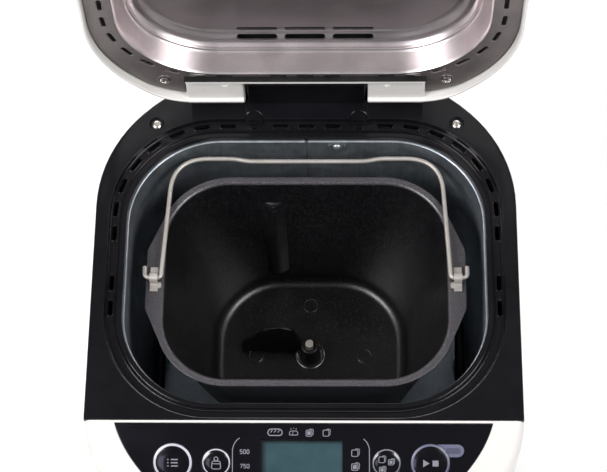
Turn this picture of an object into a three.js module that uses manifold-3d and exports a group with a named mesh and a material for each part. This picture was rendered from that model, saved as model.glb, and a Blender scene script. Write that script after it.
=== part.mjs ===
// Bread machine with its lid open: a domestic one-kilogram bread maker.
// Millimetres, +Z up, +X to the user's right, -Y towards the user.
// While it is built, the origin is the drive axis at the height of the worktop.
// At the end the whole machine slides along Y until its footprint is centred.
import * as THREE from "three";
import { mergeVertices } from "three/addons/utils/BufferGeometryUtils.js";
import Module from "manifold-3d";

const wasm = await Module();
wasm.setup();

// ---------------------------------------------------------------- driving dimensions

const GAP = 0.3; // between pieces that touch
const RUNNING_GAP = 0.3; // round a shaft or pin, on the radius

// Housing
const BODY_HALF_WIDTH = 140;
const OVEN_HALF_DEPTH = 94.8;
const BODY_WALL = 2.5;
const FOOT_HEIGHT = 5.2;
const BASE_THICKNESS = 2.4;
const PLINTH_HEIGHT = 16; // rounded-in bottom edge of the housing
const PLINTH_INSET = 8;
const FRONT_CORNER_RADIUS = 50;
const PANEL_DEPTH = 51; // from the deck's front edge to the front face
const PANEL_SLOPE = THREE.MathUtils.degToRad(31);

// Deck, the black top cover round the oven
const DECK_HEIGHT = 240;
const DECK_FRONT_MARGIN = 12.2; // in front of the oven
const DECK_REAR_MARGIN = 51.2; // behind the oven
const REAR_CHAMFER = 62.7; // across each rear corner
const SHOULDER_SHARE = 0.45; // of the chamfer, rounded off at its side end
const REAR_BREAK_SHARE = 0.98; // of the rest, rounded off at its rear end
const DECK_SKIRT = 14;
const DECK_THICKNESS = 3;
const GROOVE_MARGIN = 9.4; // from the deck's side to the groove
const GROOVE_FRONT_MARGIN = 1.6; // from the deck's front edge
const GROOVE_REAR_MARGIN = 12.8; // behind the oven
const GROOVE_RADIUS = 71;
const GROOVE_DEPTH = 4;
const GROOVE_FLOOR = 3;
const RIB_WIDTH = 2.2;
const RIB_HEIGHT = 1.8;
const DECK_LIP = 1.6; // from the oven's inner wall out to the edge of the deck's opening
const VENT_INSET = 3.5; // from the groove's outer edge to the middle of the vents
const VENT_LENGTH = 10.5;
const VENT_WIDTH = 2.8;
const VENT_PITCH = 17.8;
const VENT_STEPS = [0, 1, 3, 4, 5, 6, 7, 8, 9, 10, 12, 13]; // pitches from the middle of the rear
const DECK_SCREW_SIDE = 38.2; // from the deck's side
const DECK_SCREW_END = 42; // from the deck's rear edge
const SCREW_HEAD_RADIUS = 3.1;
const SCREW_HEAD_HEIGHT = 1.6;
const SCREW_SHANK_RADIUS = 1.6;
const SCREW_SHANK_LENGTH = 9;
const SCREW_POCKET_RADIUS = 4.8;
const SCREW_POCKET_DEPTH = 2;
const SCREW_BOSS_WALL = 1.6;

// Lid hinge
const HINGE_MARGIN = 33.8; // behind the oven
const HINGE_HEIGHT = 19.4; // above the deck
const LID_OPEN_ANGLE = THREE.MathUtils.degToRad(94.5);
const HINGE_BLOCK_SIDE = 100.4; // from the body's side
const HINGE_BLOCK_RADIUS = 9;
const HINGE_PIN_RADIUS = 3;
const HINGE_PIN_LENGTH = 24;
const HINGE_SIDE_GAP = 1.9;
const KNUCKLE_WIDTH = 37.8;
const KNUCKLE_RADIUS = 16.8;

// Lid, sized in its closed position
const LID_SEAT = 0.4; // rim above the deck
const LID_HEIGHT = 56; // crown above the deck
const LID_WALL = 2.6;
const LID_FRONT_RADIUS = 14;
const LID_REAR_OVERHANG = 1.4; // behind the hinge axis
const LID_REAR_CHAMFER = 46.7; // along the rear edge
const LID_REAR_BREAK_RADIUS = 45;
const LID_NOTCH_MARGIN = 12.8; // from the oven back to the gap for the hinge block
const LID_BRIDGE = 2.2; // wall in front of that gap
const LID_GRIP_HALF = 38;
const LID_GRIP_REACH = 7;
const LID_GRIP_HEIGHT = 9;
const FLANGE_LEVEL = 5; // underside of the inner flange above the deck
const FLANGE_THICKNESS = 1;
const DISH_REAR_MARGIN = 7; // behind the oven
const DISH_FRONT_MARGIN = 1.2;
const DISH_RADIUS = 63;
const DISH_SHEET = 1;
const DISH_LIP = 3;
const DISH_WALL_HEIGHT = 15.5;
const DISH_WALL_DRAFT = 4.7;
const DISH_BAND_HEIGHT = 5;
const DISH_BAND_DRAFT = 4.5;
const DISH_SHOULDER_HEIGHT = 3.5;
const DISH_SHOULDER_DRAFT = 6;
const DISH_VENT_LENGTH = 27;
const DISH_VENT_PITCH = 31.6;
const DISH_VENT_ROWS = [{ fromRear: 12.7, width: 4.2 }, { fromRear: 18.8, width: 2.8 }];
const LID_SCREW_REAR_SIDE = 46.7; // from the lid's side
const LID_SCREW_REAR_END = 38.2; // from the deck's rear edge
const LID_SCREW_FRONT_SIDE = 24;
const LID_SCREW_FRONT_END = 15; // from the lid's front edge
const LID_BOSS_RADIUS = 4.6;
const NOTCH_CLEARANCE = 4; // over the hinge block

// Oven chamber
const OVEN_SIDE_MARGIN = 20.7; // from the body's side
const OVEN_RADIUS = 62;
const OVEN_SHEET = 1.2;
const OVEN_DRAFT = 2;
const OVEN_FLANGE = 6;
const OVEN_STAND = 10.5; // chassis plate up to the underside of the oven
const OVEN_FLOOR_RADIUS = 12;
const OVEN_DRIVE_HOLE = 18;
const ELEMENT_RADIUS = 3.5;
const ELEMENT_RISE = 22; // above the oven floor
const ELEMENT_WALL_GAP = 4;
const ELEMENT_TAIL_X = 16;
const ELEMENT_TAIL = 15; // past the oven's rear wall
const ELEMENT_CORNER = 52;
const ELEMENT_TAIL_BEND = 6;
const SUPPORT_WIDTH = 9;
const SENSOR_X = 52;
const SENSOR_DROP = 120;
const SENSOR_RADIUS = 3;
const SENSOR_REACH = 9;
const SENSOR_FLANGE = 7;

// Bread pan
const PAN_SIDE_SPACE = 24.9; // from the pan's mouth out to the oven
const PAN_END_SPACE = 24.6;
const PAN_RADIUS = 42.5;
const PAN_RIM_DROP = 24.6; // below the deck
const PAN_STAND = 15.6; // oven floor up to the inside of the pan's floor
const PAN_SHEET = 1.6;
const PAN_SIDE_DRAFT = 25;
const PAN_END_DRAFT = 9.5;
const PAN_FLOOR_ROUNDING = 0.84; // corner radius of the floor against its half depth
const PAN_FLOOR_FILLET = 6.5;
const PAN_FLANGE_WIDTH = 5.4;
const PAN_EAR_WIDTH = 12.6; // beyond the pan's mouth
const PAN_EAR_HALF = 21;
const PAN_EAR_ROOT = 8.2; // from the mouth's front and rear edges
const PAN_EAR_CORNER = 4;
const PAN_EAR_FLARE = 20;
const PAN_BOSS_ORBIT = 40.5;
const PAN_BOSS_RADIUS = 5.6;
const PAN_BOSS_HEIGHT = 0.8;
const PAN_RIB_X = -24; // the rib on the rear wall
const PAN_RIB_RADIUS = 8;
const PAN_RIB_RISE = 4; // out of the wall
const PAN_RIB_BOTTOM = 14; // above the pan's floor
const PAN_RIB_HEIGHT = 108;
const PAN_BASE_RADIUS = 40;
const PAN_BASE_WALL = 6;
const PAN_BASE_WEB = 3;
const SHAFT_RADIUS = 3.2;
const SHAFT_RISE = 26.7; // above the pan's floor
const SHAFT_FLAT = 2.4; // from the axis to the flat that turns the paddle
const SHAFT_FLAT_LENGTH = 20;
const SHAFT_HUB_RADIUS = 8;
const SHAFT_HUB_LENGTH = 5.2;
const COLLAR_RADIUS = 10.8;
const COLLAR_HEIGHT = 2.6;

// Kneading paddle
const PADDLE_HUB_HEIGHT = 18.5;
const PADDLE_HUB_TOP_RADIUS = 6.3;
const PADDLE_HUB_RADIUS = 8.2;
const PADDLE_LENGTH = 50; // blade's lower tip from the axis
const PADDLE_HEIGHT = 28;
const PADDLE_THICKNESS = 4.5;
const PADDLE_OFFSET = 2.7; // blade's front face behind the axis
const PADDLE_LEAN = 0.25; // backwards, per unit of height
const PADDLE_CROWN_X = 24; // highest point from the axis
const PADDLE_SHOULDER = 24.6; // height of both ends of the crown
const PADDLE_OUTER_X = 34; // outer end of the crown
const PADDLE_INNER_X = 11.4; // inner end of the crown

// Bail handle
const HANDLE_RADIUS = 1.5;
const HANDLE_PIVOT_Y = -0.9;
const HANDLE_PIVOT_RISE = 4.6; // above the pan's rim
const HANDLE_END_SPACE = 7.5; // from the grip back to the oven
const HANDLE_ARM_REACH = 2.2; // arms at the pivot, beyond the pan's mouth
const HANDLE_ARM_BEND = 3;
const HANDLE_TAPER = 5.3; // inwards at the grip
const HANDLE_CORNER = 24;
const HANDLE_DIP = 2;
const HANDLE_DIP_HALF = 45;
const HANDLE_DIP_RUN = 20; // length of each slope into the dip
const HANDLE_DIP_CORNER = 6;
const HANDLE_HOOK_REACH = 13.2; // beyond the pan's mouth
const HANDLE_HOOK_TAIL = 8.5;
const HANDLE_HOOK_CORNER = 4.5;
const BRACKET_REACH = 7; // beyond the pan's mouth
const BRACKET_WIDTH = 5.4;
const BRACKET_REAR = 8.8; // from the pivot
const BRACKET_FRONT = 8.4;
const BRACKET_SHEET = 1.4;

// Drive
const SEAT_RADIUS = 46;
const SEAT_WALL = 2.4;
const SEAT_FLOOR = 1.5;
const SEAT_HEIGHT = 10;
const SEAT_HOLE = 20;
const COUPLING_RADIUS = 15.5;
const COUPLING_DISC = 3;
const DOG_RADIUS_IN = 8;
const DOG_RADIUS_OUT = 13.5;
const DOG_WIDTH = 8;
const DOG_HEIGHT = 5;
const WING_LENGTH = 28;
const WING_WIDTH = 6;
const WING_HEIGHT = 4;
const SPINDLE_RADIUS = 5;
const SPINDLE_BOTTOM = 13;
const COUPLING_HUB_RADIUS = 9;
const COUPLING_HUB_DEPTH = 5;
const BEARING_RADIUS = 11;
const BEARING_FLANGE = 17;
const CHASSIS_HEIGHT = 38; // underside of the plate
const CHASSIS_SHEET = 2;
const CHASSIS_SIDE_MARGIN = 32; // from the body's side
const CHASSIS_REAR_MARGIN = 48; // from the deck's rear edge
const CHASSIS_CORNER = 42;
const LEG_SIZE = 12;
const REAR_LEG = { fromSide: 16, fromRear: 32 };
const FRONT_LEFT_LEG = { fromSide: 22, fromFront: 52 }; // clear of the belt and the motor
const FRONT_MIDDLE_LEG = { fromMotor: 92, fromFront: 10 };
const FRONT_RIGHT_LEG = { fromSide: 8, fromFront: 68 };
const OVEN_POST_SIDE = 47.3; // from the oven's side
const OVEN_POST_END = 38.8;
const PULLEY_RADIUS = 38;
const MOTOR_PULLEY_RADIUS = 9;
const PULLEY_FLANGE = 3;
const PULLEY_BOTTOM = 16;
const BELT_WIDTH = 6;
const BELT_THICKNESS = 2.4;
const BELT_SIDE_GAP = 0.6;
const PULLEY_CHEEK = 2.4;
const MOTOR_SIDE = 78; // from the body's side
const MOTOR_GAP = 4.7; // from the oven's front wall
const MOTOR_RADIUS = 24;
const MOTOR_RING = 16; // height of the stator rings
const MOTOR_WAIST = 3; // groove between the rings
const MOTOR_CROWN = 4;
const MOTOR_SOCKET = 12;
const MOTOR_HEIGHT = 74;
const MOTOR_SHAFT_RADIUS = 4;

// Control panel, measured on the slope from the deck's front edge
const SURROUND_THICKNESS = 4;
const SURROUND_SKIRT = 14;
const FASCIA_TOP = 2.3;
const FASCIA_MARGIN = 20; // from the body's side to the fascia's top corner
const FASCIA_SIDE = { fromSide: 25, row: 22 }; // bends the side's long curve
const FASCIA_SHOULDER = { fromSide: 42, row: 40 }; // where the side turns in
const FASCIA_CORNER = 56; // from the body's side, bends the lower corner
const FASCIA_FOOT = 82; // from the body's side to the straight lower edge
const FASCIA_FOOT_MARGIN = 5.5; // from the panel's lower edge
const FASCIA_THICKNESS = 2;
const FASCIA_LEDGE = 3;
const KEYS_X = -1.3; // middle of the display and the buttons
const DISPLAY_HALF_WIDTH = 26.4;
const DISPLAY_TOP = 13.2;
const DISPLAY_HEIGHT = 23;
const DISPLAY_MARGIN = 3;
const LARGE_BUTTON_RADIUS = 12.6;
const SMALL_BUTTON_RADIUS = 9.2;
const TIMER_BUTTON_RADIUS = 4;
const LARGE_BUTTON_SIDE = 58; // from the body's side
const BUTTON_PITCH = 27.8; // from the large button to the small one
const TIMER_BUTTON_X = 13;
const BUTTON_ROW = 27.8;
const TIMER_ROW = 44.6;
const BUTTON_RISE = 0.8;
const BUTTON_TRAVEL = 1.2;
const BUTTON_FLANGE = 1;
const BUTTON_DEPTH = 4.2;
const LENS_ROW = 19.8;
const LENS_REACH = 21.3; // from the start button's axis
const LENS_HALF = 4.1;
const BOARD_LEVEL = 9; // face of the control board below the panel's face
const BOARD_THICKNESS = 1.6;
const BOARD_POST_SIDE = 22; // from the body's side
const BOARD_POST_ROW = 12;
const BOARD_POST_RADIUS = 2.4;
const BOARD_SIDE = 40; // from the body's side
const BOARD_TOP = 7;
const BOARD_EAR = 4; // round each post
const SWITCH_HALF = 3;
const LAMP_HALF = 2;
const LAMP_INSET = 4; // from the lens's outer end

// Base and electrics
const FOOT_SIDE = 48; // from the body's side
const FOOT_FRONT = 40; // from the body's front
const FOOT_REAR = 62; // from the body's rear
const FOOT_RADIUS = 9;
const FOOT_STEM_RADIUS = 4;
const FOOT_CHAMFER = 1.5;
const BASE_RIM_HEIGHT = 3;
const BASE_RIM_WIDTH = 2;
const BASE_VENT_COUNT = 6;
const BASE_VENT_PITCH = 12;
const BASE_VENT_WIDTH = 4;
const BASE_VENT_END = 62; // from the body's rear
const BASE_VENT_LENGTH = 34;
const POWER_BOARD = { fromSide: 83, width: 72, depth: 38, level: 47 };
const POWER_BOARD_GAP = 10.2; // from the oven's front wall
const BOARD_LEG = { radius: 3, fromSide: 6, fromEnd: 5 };
// Depths are shares of the board's depth, and the rest are shares of its width.
const POWER_PARTS = [
  { x: -0.28, y: 0.1, width: 0.33, depth: 0.52, height: 0.28 }, // transformer
  { x: 0.11, y: 0.21, width: 0.25, depth: 0.32, height: 0.2 }, // relay
  { x: 0.36, y: -0.16, width: 0.17, depth: 0.42, height: 0.33 }, // heat sink
  { x: 0.08, y: -0.26, width: 0.2, depth: 0.2, height: 0.14 }, // terminals
];
const GLAND_SIDE = 116; // from the body's side
const GLAND_HEIGHT = 44;
const GLAND_RADIUS = 6.4;
const GLAND_FLANGE = 9.5;
const GLAND_BORE = 3.6;

// ---------------------------------------------------------------- derived levels

const OVEN_HALF_WIDTH = BODY_HALF_WIDTH - OVEN_SIDE_MARGIN;
const PAN_HALF_WIDTH = OVEN_HALF_WIDTH - PAN_SIDE_SPACE;
const PAN_HALF_DEPTH = OVEN_HALF_DEPTH - PAN_END_SPACE;
const DECK_TOP = DECK_HEIGHT;
const DECK_FRONT = OVEN_HALF_DEPTH + DECK_FRONT_MARGIN;
const DECK_REAR = OVEN_HALF_DEPTH + DECK_REAR_MARGIN;
const GLAND_X = GLAND_SIDE - BODY_HALF_WIDTH;
const SHOULDER_Y = DECK_REAR - REAR_CHAMFER;
const REAR_BREAK_X = BODY_HALF_WIDTH - REAR_CHAMFER;
// Each end of the 45 degree chamfer turns by 22.5 degrees on either side of its corner.
const CHAMFER_ARC_REACH = (REAR_CHAMFER * Math.SQRT2) / Math.tan(Math.PI / 8);
const SHOULDER_RADIUS = CHAMFER_ARC_REACH * SHOULDER_SHARE;
const REAR_BREAK_RADIUS = CHAMFER_ARC_REACH * (1 - SHOULDER_SHARE) * REAR_BREAK_SHARE;
const GROOVE_REAR = OVEN_HALF_DEPTH + GROOVE_REAR_MARGIN;
const DECK_SCREW_X = BODY_HALF_WIDTH - DECK_SCREW_SIDE;
const DECK_SCREW_Y = DECK_REAR - DECK_SCREW_END;
const HINGE_Y = OVEN_HALF_DEPTH + HINGE_MARGIN;
const HINGE_BLOCK_HALF = BODY_HALF_WIDTH - HINGE_BLOCK_SIDE;
const KNUCKLE_INNER = HINGE_BLOCK_HALF + HINGE_SIDE_GAP;
const KNUCKLE_OUTER = KNUCKLE_INNER + KNUCKLE_WIDTH;
const LID_REAR = HINGE_Y + LID_REAR_OVERHANG;
const LID_REAR_BREAK_X = BODY_HALF_WIDTH - LID_REAR_CHAMFER;
const LID_NOTCH_Y = OVEN_HALF_DEPTH + LID_NOTCH_MARGIN;
const DISH_REAR = OVEN_HALF_DEPTH + DISH_REAR_MARGIN;
const DISH_FRONT = OVEN_HALF_DEPTH + DISH_FRONT_MARGIN;
const BASE_TOP = FOOT_HEIGHT + GAP + BASE_THICKNESS;
const SHELL_BOTTOM = BASE_TOP + GAP;
const FRONT_Y = -(DECK_FRONT + PANEL_DEPTH);
const FASCIA_TOP_HALF = BODY_HALF_WIDTH - FASCIA_MARGIN;
const BOARD_HALF_WIDTH = BODY_HALF_WIDTH - BOARD_SIDE;
const BOARD_POST_X = BODY_HALF_WIDTH - BOARD_POST_SIDE;
const LARGE_BUTTON_X = BODY_HALF_WIDTH - LARGE_BUTTON_SIDE;
const SMALL_BUTTON_X = LARGE_BUTTON_X - BUTTON_PITCH;
const START_X = KEYS_X + LARGE_BUTTON_X;
const OVEN_TOP = DECK_TOP - GROOVE_DEPTH - GROOVE_FLOOR - GAP;
const CHASSIS_TOP = CHASSIS_HEIGHT + CHASSIS_SHEET;
const OVEN_UNDERSIDE = CHASSIS_TOP + OVEN_STAND;
const OVEN_FLOOR = OVEN_UNDERSIDE + OVEN_SHEET;
const PAN_RIM = DECK_TOP - PAN_RIM_DROP;
const PAN_FLOOR = OVEN_FLOOR + PAN_STAND;
const PAN_DEPTH = PAN_RIM - PAN_FLOOR;
const PAN_UNDERSIDE = PAN_FLOOR - PAN_SHEET;
const PAN_FLOOR_RADIUS = (PAN_HALF_DEPTH - PAN_END_DRAFT) * PAN_FLOOR_ROUNDING;
const SEAT_TOP = OVEN_FLOOR + GAP + SEAT_FLOOR;
const PAN_BASE_BOTTOM = SEAT_TOP + GAP;
const PAN_BASE_TOP = PAN_UNDERSIDE - GAP;
const SHAFT_TOP = PAN_FLOOR + SHAFT_RISE;
const SHAFT_HUB_BOTTOM = PAN_BASE_TOP - SHAFT_HUB_LENGTH;
const WING_TOP = SHAFT_HUB_BOTTOM - GAP;
const WING_BOTTOM = WING_TOP - WING_HEIGHT;
const COUPLING_TOP = WING_BOTTOM - 2 * GAP;
const COUPLING_BOTTOM = COUPLING_TOP - COUPLING_DISC;
const SPINDLE_TOP = COUPLING_BOTTOM;
const COUPLING_HUB_BOTTOM = COUPLING_BOTTOM - COUPLING_HUB_DEPTH;
const BEARING_TOP = COUPLING_HUB_BOTTOM - GAP;
const PULLEY_TOP = PULLEY_BOTTOM + 2 * PULLEY_CHEEK + BELT_WIDTH + 2 * BELT_SIDE_GAP;
const BEARING_BOTTOM = PULLEY_TOP + GAP;
const BELT_BOTTOM = PULLEY_BOTTOM + PULLEY_CHEEK + BELT_SIDE_GAP;
const COLLAR_BOTTOM = PAN_FLOOR + GAP;
const COLLAR_TOP = COLLAR_BOTTOM + COLLAR_HEIGHT;
const PADDLE_BOTTOM = COLLAR_TOP + GAP;
const ELEMENT_LEVEL = OVEN_FLOOR + ELEMENT_RISE;
const POWER_BOARD_X = POWER_BOARD.fromSide - BODY_HALF_WIDTH;
const POWER_BOARD_Y = -(OVEN_HALF_DEPTH + POWER_BOARD_GAP + POWER_BOARD.depth / 2);
const MOTOR_X = BODY_HALF_WIDTH - MOTOR_SIDE;
const MOTOR_Y = -(OVEN_HALF_DEPTH + MOTOR_GAP + MOTOR_RADIUS);
const CHASSIS_HALF_WIDTH = BODY_HALF_WIDTH - CHASSIS_SIDE_MARGIN;
const CHASSIS_FRONT = MOTOR_Y - MOTOR_RADIUS - 0.5;
const CHASSIS_REAR = DECK_REAR - CHASSIS_REAR_MARGIN;
const HANDLE_PIVOT_Z = PAN_RIM + HANDLE_PIVOT_RISE;
const BRACKET_X = PAN_HALF_WIDTH + BRACKET_REACH;

// ---------------------------------------------------------------- solids and shapes

const CIRCLE = Math.PI * 2;

function toSolid(geometry) {
  const bare = geometry.clone();
  bare.deleteAttribute("normal");
  bare.deleteAttribute("uv");
  const merged = mergeVertices(bare, 1e-4);
  return new wasm.Manifold(
    new wasm.Mesh({
      numProp: 3,
      vertProperties: new Float32Array(merged.attributes.position.array),
      triVerts: new Uint32Array(merged.index.array),
    }),
  );
}

function toGeometry(solid) {
  const mesh = solid.getMesh();
  const geometry = new THREE.BufferGeometry();
  geometry.setAttribute("position", new THREE.BufferAttribute(mesh.vertProperties, 3));
  geometry.setIndex(new THREE.BufferAttribute(mesh.triVerts, 1));
  geometry.computeVertexNormals();
  return geometry;
}

// The first solid with the others joined to it.
function join(first, ...others) {
  return others.reduce((whole, other) => whole.add(other), first);
}

// The first solid with the others cut out of it.
function cut(first, ...others) {
  return others.reduce((whole, other) => whole.subtract(other), first);
}

function mirrored(solid) {
  return solid.mirror([1, 0, 0]);
}

// The points of a polygon with rounded corners, each [x, y, radius], anticlockwise.
// A positive inset moves every edge inwards and tightens the convex corners.
function outline(corners, inset = 0, quarterSteps = 6) {
  const count = corners.length;
  const points = [];
  corners.forEach(([x, y, radius], i) => {
    const [px, py] = corners[(i + count - 1) % count];
    const [nx, ny] = corners[(i + 1) % count];
    const into = new THREE.Vector2(x - px, y - py).normalize();
    const out = new THREE.Vector2(nx - x, ny - y).normalize();
    const turn = Math.atan2(into.cross(out), into.dot(out));
    const steps = Math.max(1, Math.round((quarterSteps * Math.abs(turn)) / (Math.PI / 2)));
    const side = Math.sign(turn) || 1;
    const inwardIn = new THREE.Vector2(-into.y, into.x);
    const inwardOut = new THREE.Vector2(-out.y, out.x);
    const reach = inwardIn.clone().add(inwardOut).divideScalar(1 + inwardIn.dot(inwardOut));
    const rounded = Math.max(radius - side * inset, 0.2);
    const centre = new THREE.Vector2(x, y).addScaledVector(reach, inset + side * rounded);
    const start = Math.atan2(-side * inwardIn.y, -side * inwardIn.x);
    for (let k = 0; k <= steps; k += 1) {
      const angle = start + (turn * k) / steps;
      points.push(
        new THREE.Vector2(
          centre.x + rounded * Math.cos(angle),
          centre.y + rounded * Math.sin(angle),
        ),
      );
    }
  });
  return points;
}

function rectangle(halfWidth, front, rear, radius) {
  return [
    [-halfWidth, front, radius],
    [halfWidth, front, radius],
    [halfWidth, rear, radius],
    [-halfWidth, rear, radius],
  ];
}

function extruded(shape, bottom, top, curveSegments = 6) {
  const geometry = new THREE.ExtrudeGeometry(shape, {
    depth: top - bottom,
    bevelEnabled: false,
    curveSegments,
  });
  geometry.translate(0, 0, bottom);
  return toSolid(geometry);
}

function prism(points, bottom, top) {
  return extruded(new THREE.Shape(points), bottom, top);
}

// A closed solid through level rings, each { z, points }, lowest first.
function loft(rings) {
  const count = rings[0].points.length;
  const positions = rings.flatMap(({ z, points }) => points.flatMap((p) => [p.x, p.y, z]));
  const index = [];
  for (let level = 0; level < rings.length - 1; level += 1) {
    for (let i = 0; i < count; i += 1) {
      const a = level * count + i;
      const b = level * count + ((i + 1) % count);
      index.push(a, b, b + count, a, b + count, a + count);
    }
  }
  const topStart = (rings.length - 1) * count;
  const caps = [
    { ring: rings[0], start: 0, flip: true },
    { ring: rings[rings.length - 1], start: topStart, flip: false },
  ];
  caps.forEach(({ ring, start, flip }) => {
    THREE.ShapeUtils.triangulateShape(ring.points, []).forEach(([a, b, c]) => {
      index.push(start + a, start + (flip ? c : b), start + (flip ? b : c));
    });
  });
  const geometry = new THREE.BufferGeometry();
  geometry.setAttribute("position", new THREE.Float32BufferAttribute(positions, 3));
  geometry.setIndex(index);
  return toSolid(geometry);
}

// Rings made of one outline at several [z, inset] levels.
function insetRings(corners, levels, steps) {
  return levels.map(([z, inset]) => ({ z, points: outline(corners, inset, steps) }));
}

function block(x0, x1, y0, y1, z0, z1) {
  const geometry = new THREE.BoxGeometry(x1 - x0, y1 - y0, z1 - z0);
  geometry.translate((x0 + x1) / 2, (y0 + y1) / 2, (z0 + z1) / 2);
  return toSolid(geometry);
}

function post(x, y, radius, bottom, top, sides = 14) {
  const geometry = new THREE.CylinderGeometry(radius, radius, top - bottom, sides);
  geometry.rotateX(Math.PI / 2);
  geometry.translate(x, y, (bottom + top) / 2);
  return toSolid(geometry);
}

function crossBar(x0, x1, y, z, radius, sides = 16) {
  const geometry = new THREE.CylinderGeometry(radius, radius, x1 - x0, sides);
  geometry.rotateZ(Math.PI / 2);
  geometry.translate((x0 + x1) / 2, y, z);
  return toSolid(geometry);
}

// A turned piece from [radius, z] points, on the Z axis. The profile closes on itself.
function turned(profile, sides = 20) {
  const closed = [...profile, profile[0]];
  const geometry = new THREE.LatheGeometry(
    closed.map(([radius, z]) => new THREE.Vector2(radius, z)),
    sides,
  );
  geometry.rotateX(Math.PI / 2);
  return toSolid(geometry);
}

function shifted(solid, x, y, z) {
  return solid.translate([x, y, z]);
}

// Leans a solid: each unit of Z moves it along Y, or each unit of Y lifts it.
function sheared(solid, { yPerZ = 0, zPerY = 0 }) {
  return solid.transform([1, 0, 0, 0, 0, 1, zPerY, 0, 0, yPerZ, 1, 0, 0, 0, 0, 1]);
}

// A path with a ring at each of its own points, so straight runs stay single faces.
class WirePath extends THREE.Curve {
  constructor(points) {
    super();
    this.points = points;
  }

  getPointAt(u) {
    return this.points[Math.round(u * (this.points.length - 1))].clone();
  }

  getTangentAt(u) {
    const i = Math.round(u * (this.points.length - 1));
    const from = this.points[Math.max(i - 1, 0)];
    const to = this.points[Math.min(i + 1, this.points.length - 1)];
    return to.clone().sub(from).normalize();
  }
}

// Straight runs through the given points with a round bend at each inner one.
function bentPath(points, reaches, bendSteps = 4) {
  const path = [points[0]];
  for (let i = 1; i < points.length - 1; i += 1) {
    const back = points[i - 1].clone().sub(points[i]).normalize();
    const ahead = points[i + 1].clone().sub(points[i]).normalize();
    const entry = points[i].clone().addScaledVector(back, reaches[i]);
    const exit = points[i].clone().addScaledVector(ahead, reaches[i]);
    const bend = new THREE.QuadraticBezierCurve3(entry, points[i], exit);
    path.push(...bend.getPoints(bendSteps));
  }
  path.push(points[points.length - 1]);
  return new WirePath(path);
}

function wire(path, radius, sides = 8) {
  const section = new THREE.Shape();
  section.absarc(0, 0, radius, 0, CIRCLE);
  const geometry = new THREE.ExtrudeGeometry(section, {
    steps: path.points.length - 1,
    curveSegments: sides / 2,
    extrudePath: path,
  });
  return toSolid(geometry);
}

// ---------------------------------------------------------------- outlines that mate

const REAR_CORNERS = [
  [BODY_HALF_WIDTH, SHOULDER_Y, SHOULDER_RADIUS],
  [REAR_BREAK_X, DECK_REAR, REAR_BREAK_RADIUS],
  [-REAR_BREAK_X, DECK_REAR, REAR_BREAK_RADIUS],
  [-BODY_HALF_WIDTH, SHOULDER_Y, SHOULDER_RADIUS],
];
const DECK_CORNERS = [
  [-BODY_HALF_WIDTH, -DECK_FRONT, 0.5],
  [BODY_HALF_WIDTH, -DECK_FRONT, 0.5],
  ...REAR_CORNERS,
];
const BODY_CORNERS = [
  [-BODY_HALF_WIDTH, FRONT_Y, FRONT_CORNER_RADIUS],
  [BODY_HALF_WIDTH, FRONT_Y, FRONT_CORNER_RADIUS],
  ...REAR_CORNERS,
];
const LID_CORNERS = [
  [-BODY_HALF_WIDTH, -DECK_FRONT, LID_FRONT_RADIUS],
  [BODY_HALF_WIDTH, -DECK_FRONT, LID_FRONT_RADIUS],
  [BODY_HALF_WIDTH, SHOULDER_Y, SHOULDER_RADIUS],
  [LID_REAR_BREAK_X, LID_REAR, LID_REAR_BREAK_RADIUS],
  [-LID_REAR_BREAK_X, LID_REAR, LID_REAR_BREAK_RADIUS],
  [-BODY_HALF_WIDTH, SHOULDER_Y, SHOULDER_RADIUS],
];
const GROOVE_FRONT = -DECK_FRONT + GROOVE_FRONT_MARGIN;
const GROOVE_CORNERS = rectangle(
  BODY_HALF_WIDTH - GROOVE_MARGIN,
  GROOVE_FRONT,
  GROOVE_REAR,
  GROOVE_RADIUS,
);
const OVEN_CORNERS = rectangle(
  OVEN_HALF_WIDTH,
  -OVEN_HALF_DEPTH,
  OVEN_HALF_DEPTH,
  OVEN_RADIUS,
);
const DISH_CORNERS = rectangle(OVEN_HALF_WIDTH, -DISH_FRONT, DISH_REAR, DISH_RADIUS);
const PAN_CORNERS = rectangle(PAN_HALF_WIDTH, -PAN_HALF_DEPTH, PAN_HALF_DEPTH, PAN_RADIUS);

// Vents follow the groove. They start behind the oven and run forward on both sides.
function ventCutters(bottom, top) {
  const line = new THREE.CurvePath();
  const quarter = 12;
  const points = outline(GROOVE_CORNERS, VENT_INSET, quarter);
  const rearRight = 2 * (quarter + 1); // where the rear right corner's arc starts
  const run = [new THREE.Vector2(0, GROOVE_REAR - VENT_INSET)];
  run.push(...points.slice(rearRight, rearRight + quarter + 1).reverse());
  run.push(new THREE.Vector2(BODY_HALF_WIDTH - GROOVE_MARGIN - VENT_INSET, GROOVE_FRONT / 2));
  for (let i = 1; i < run.length; i += 1) {
    line.add(new THREE.LineCurve(run[i - 1], run[i]));
  }
  const length = line.getLength();
  return VENT_STEPS.flatMap((step) => {
    const at = (step * VENT_PITCH) / length;
    const place = line.getPoint(at);
    const ahead = line.getPoint(Math.min(at + 0.5 / length, 1));
    const behind = line.getPoint(Math.max(at - 0.5 / length, 0));
    const angle = Math.atan2(ahead.y - behind.y, ahead.x - behind.x);
    const corners = rectangle(VENT_LENGTH / 2, -VENT_WIDTH / 2, VENT_WIDTH / 2, 0);
    const slot = corners.map(([x, y]) =>
      new THREE.Vector2(x, y).rotateAround(new THREE.Vector2(), angle).add(place),
    );
    const right = prism(slot, bottom, top);
    return step === 0 ? [right] : [right, mirrored(right)];
  });
}

// ---------------------------------------------------------------- scene graph

const machine = new THREE.Group();
const lid = new THREE.Group();
lid.position.set(0, HINGE_Y, DECK_TOP + HINGE_HEIGHT);
lid.rotation.x = -LID_OPEN_ANGLE;
const panel = new THREE.Group();
panel.position.set(0, -DECK_FRONT, DECK_TOP);
panel.rotation.x = PANEL_SLOPE;
machine.add(lid, panel);

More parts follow.
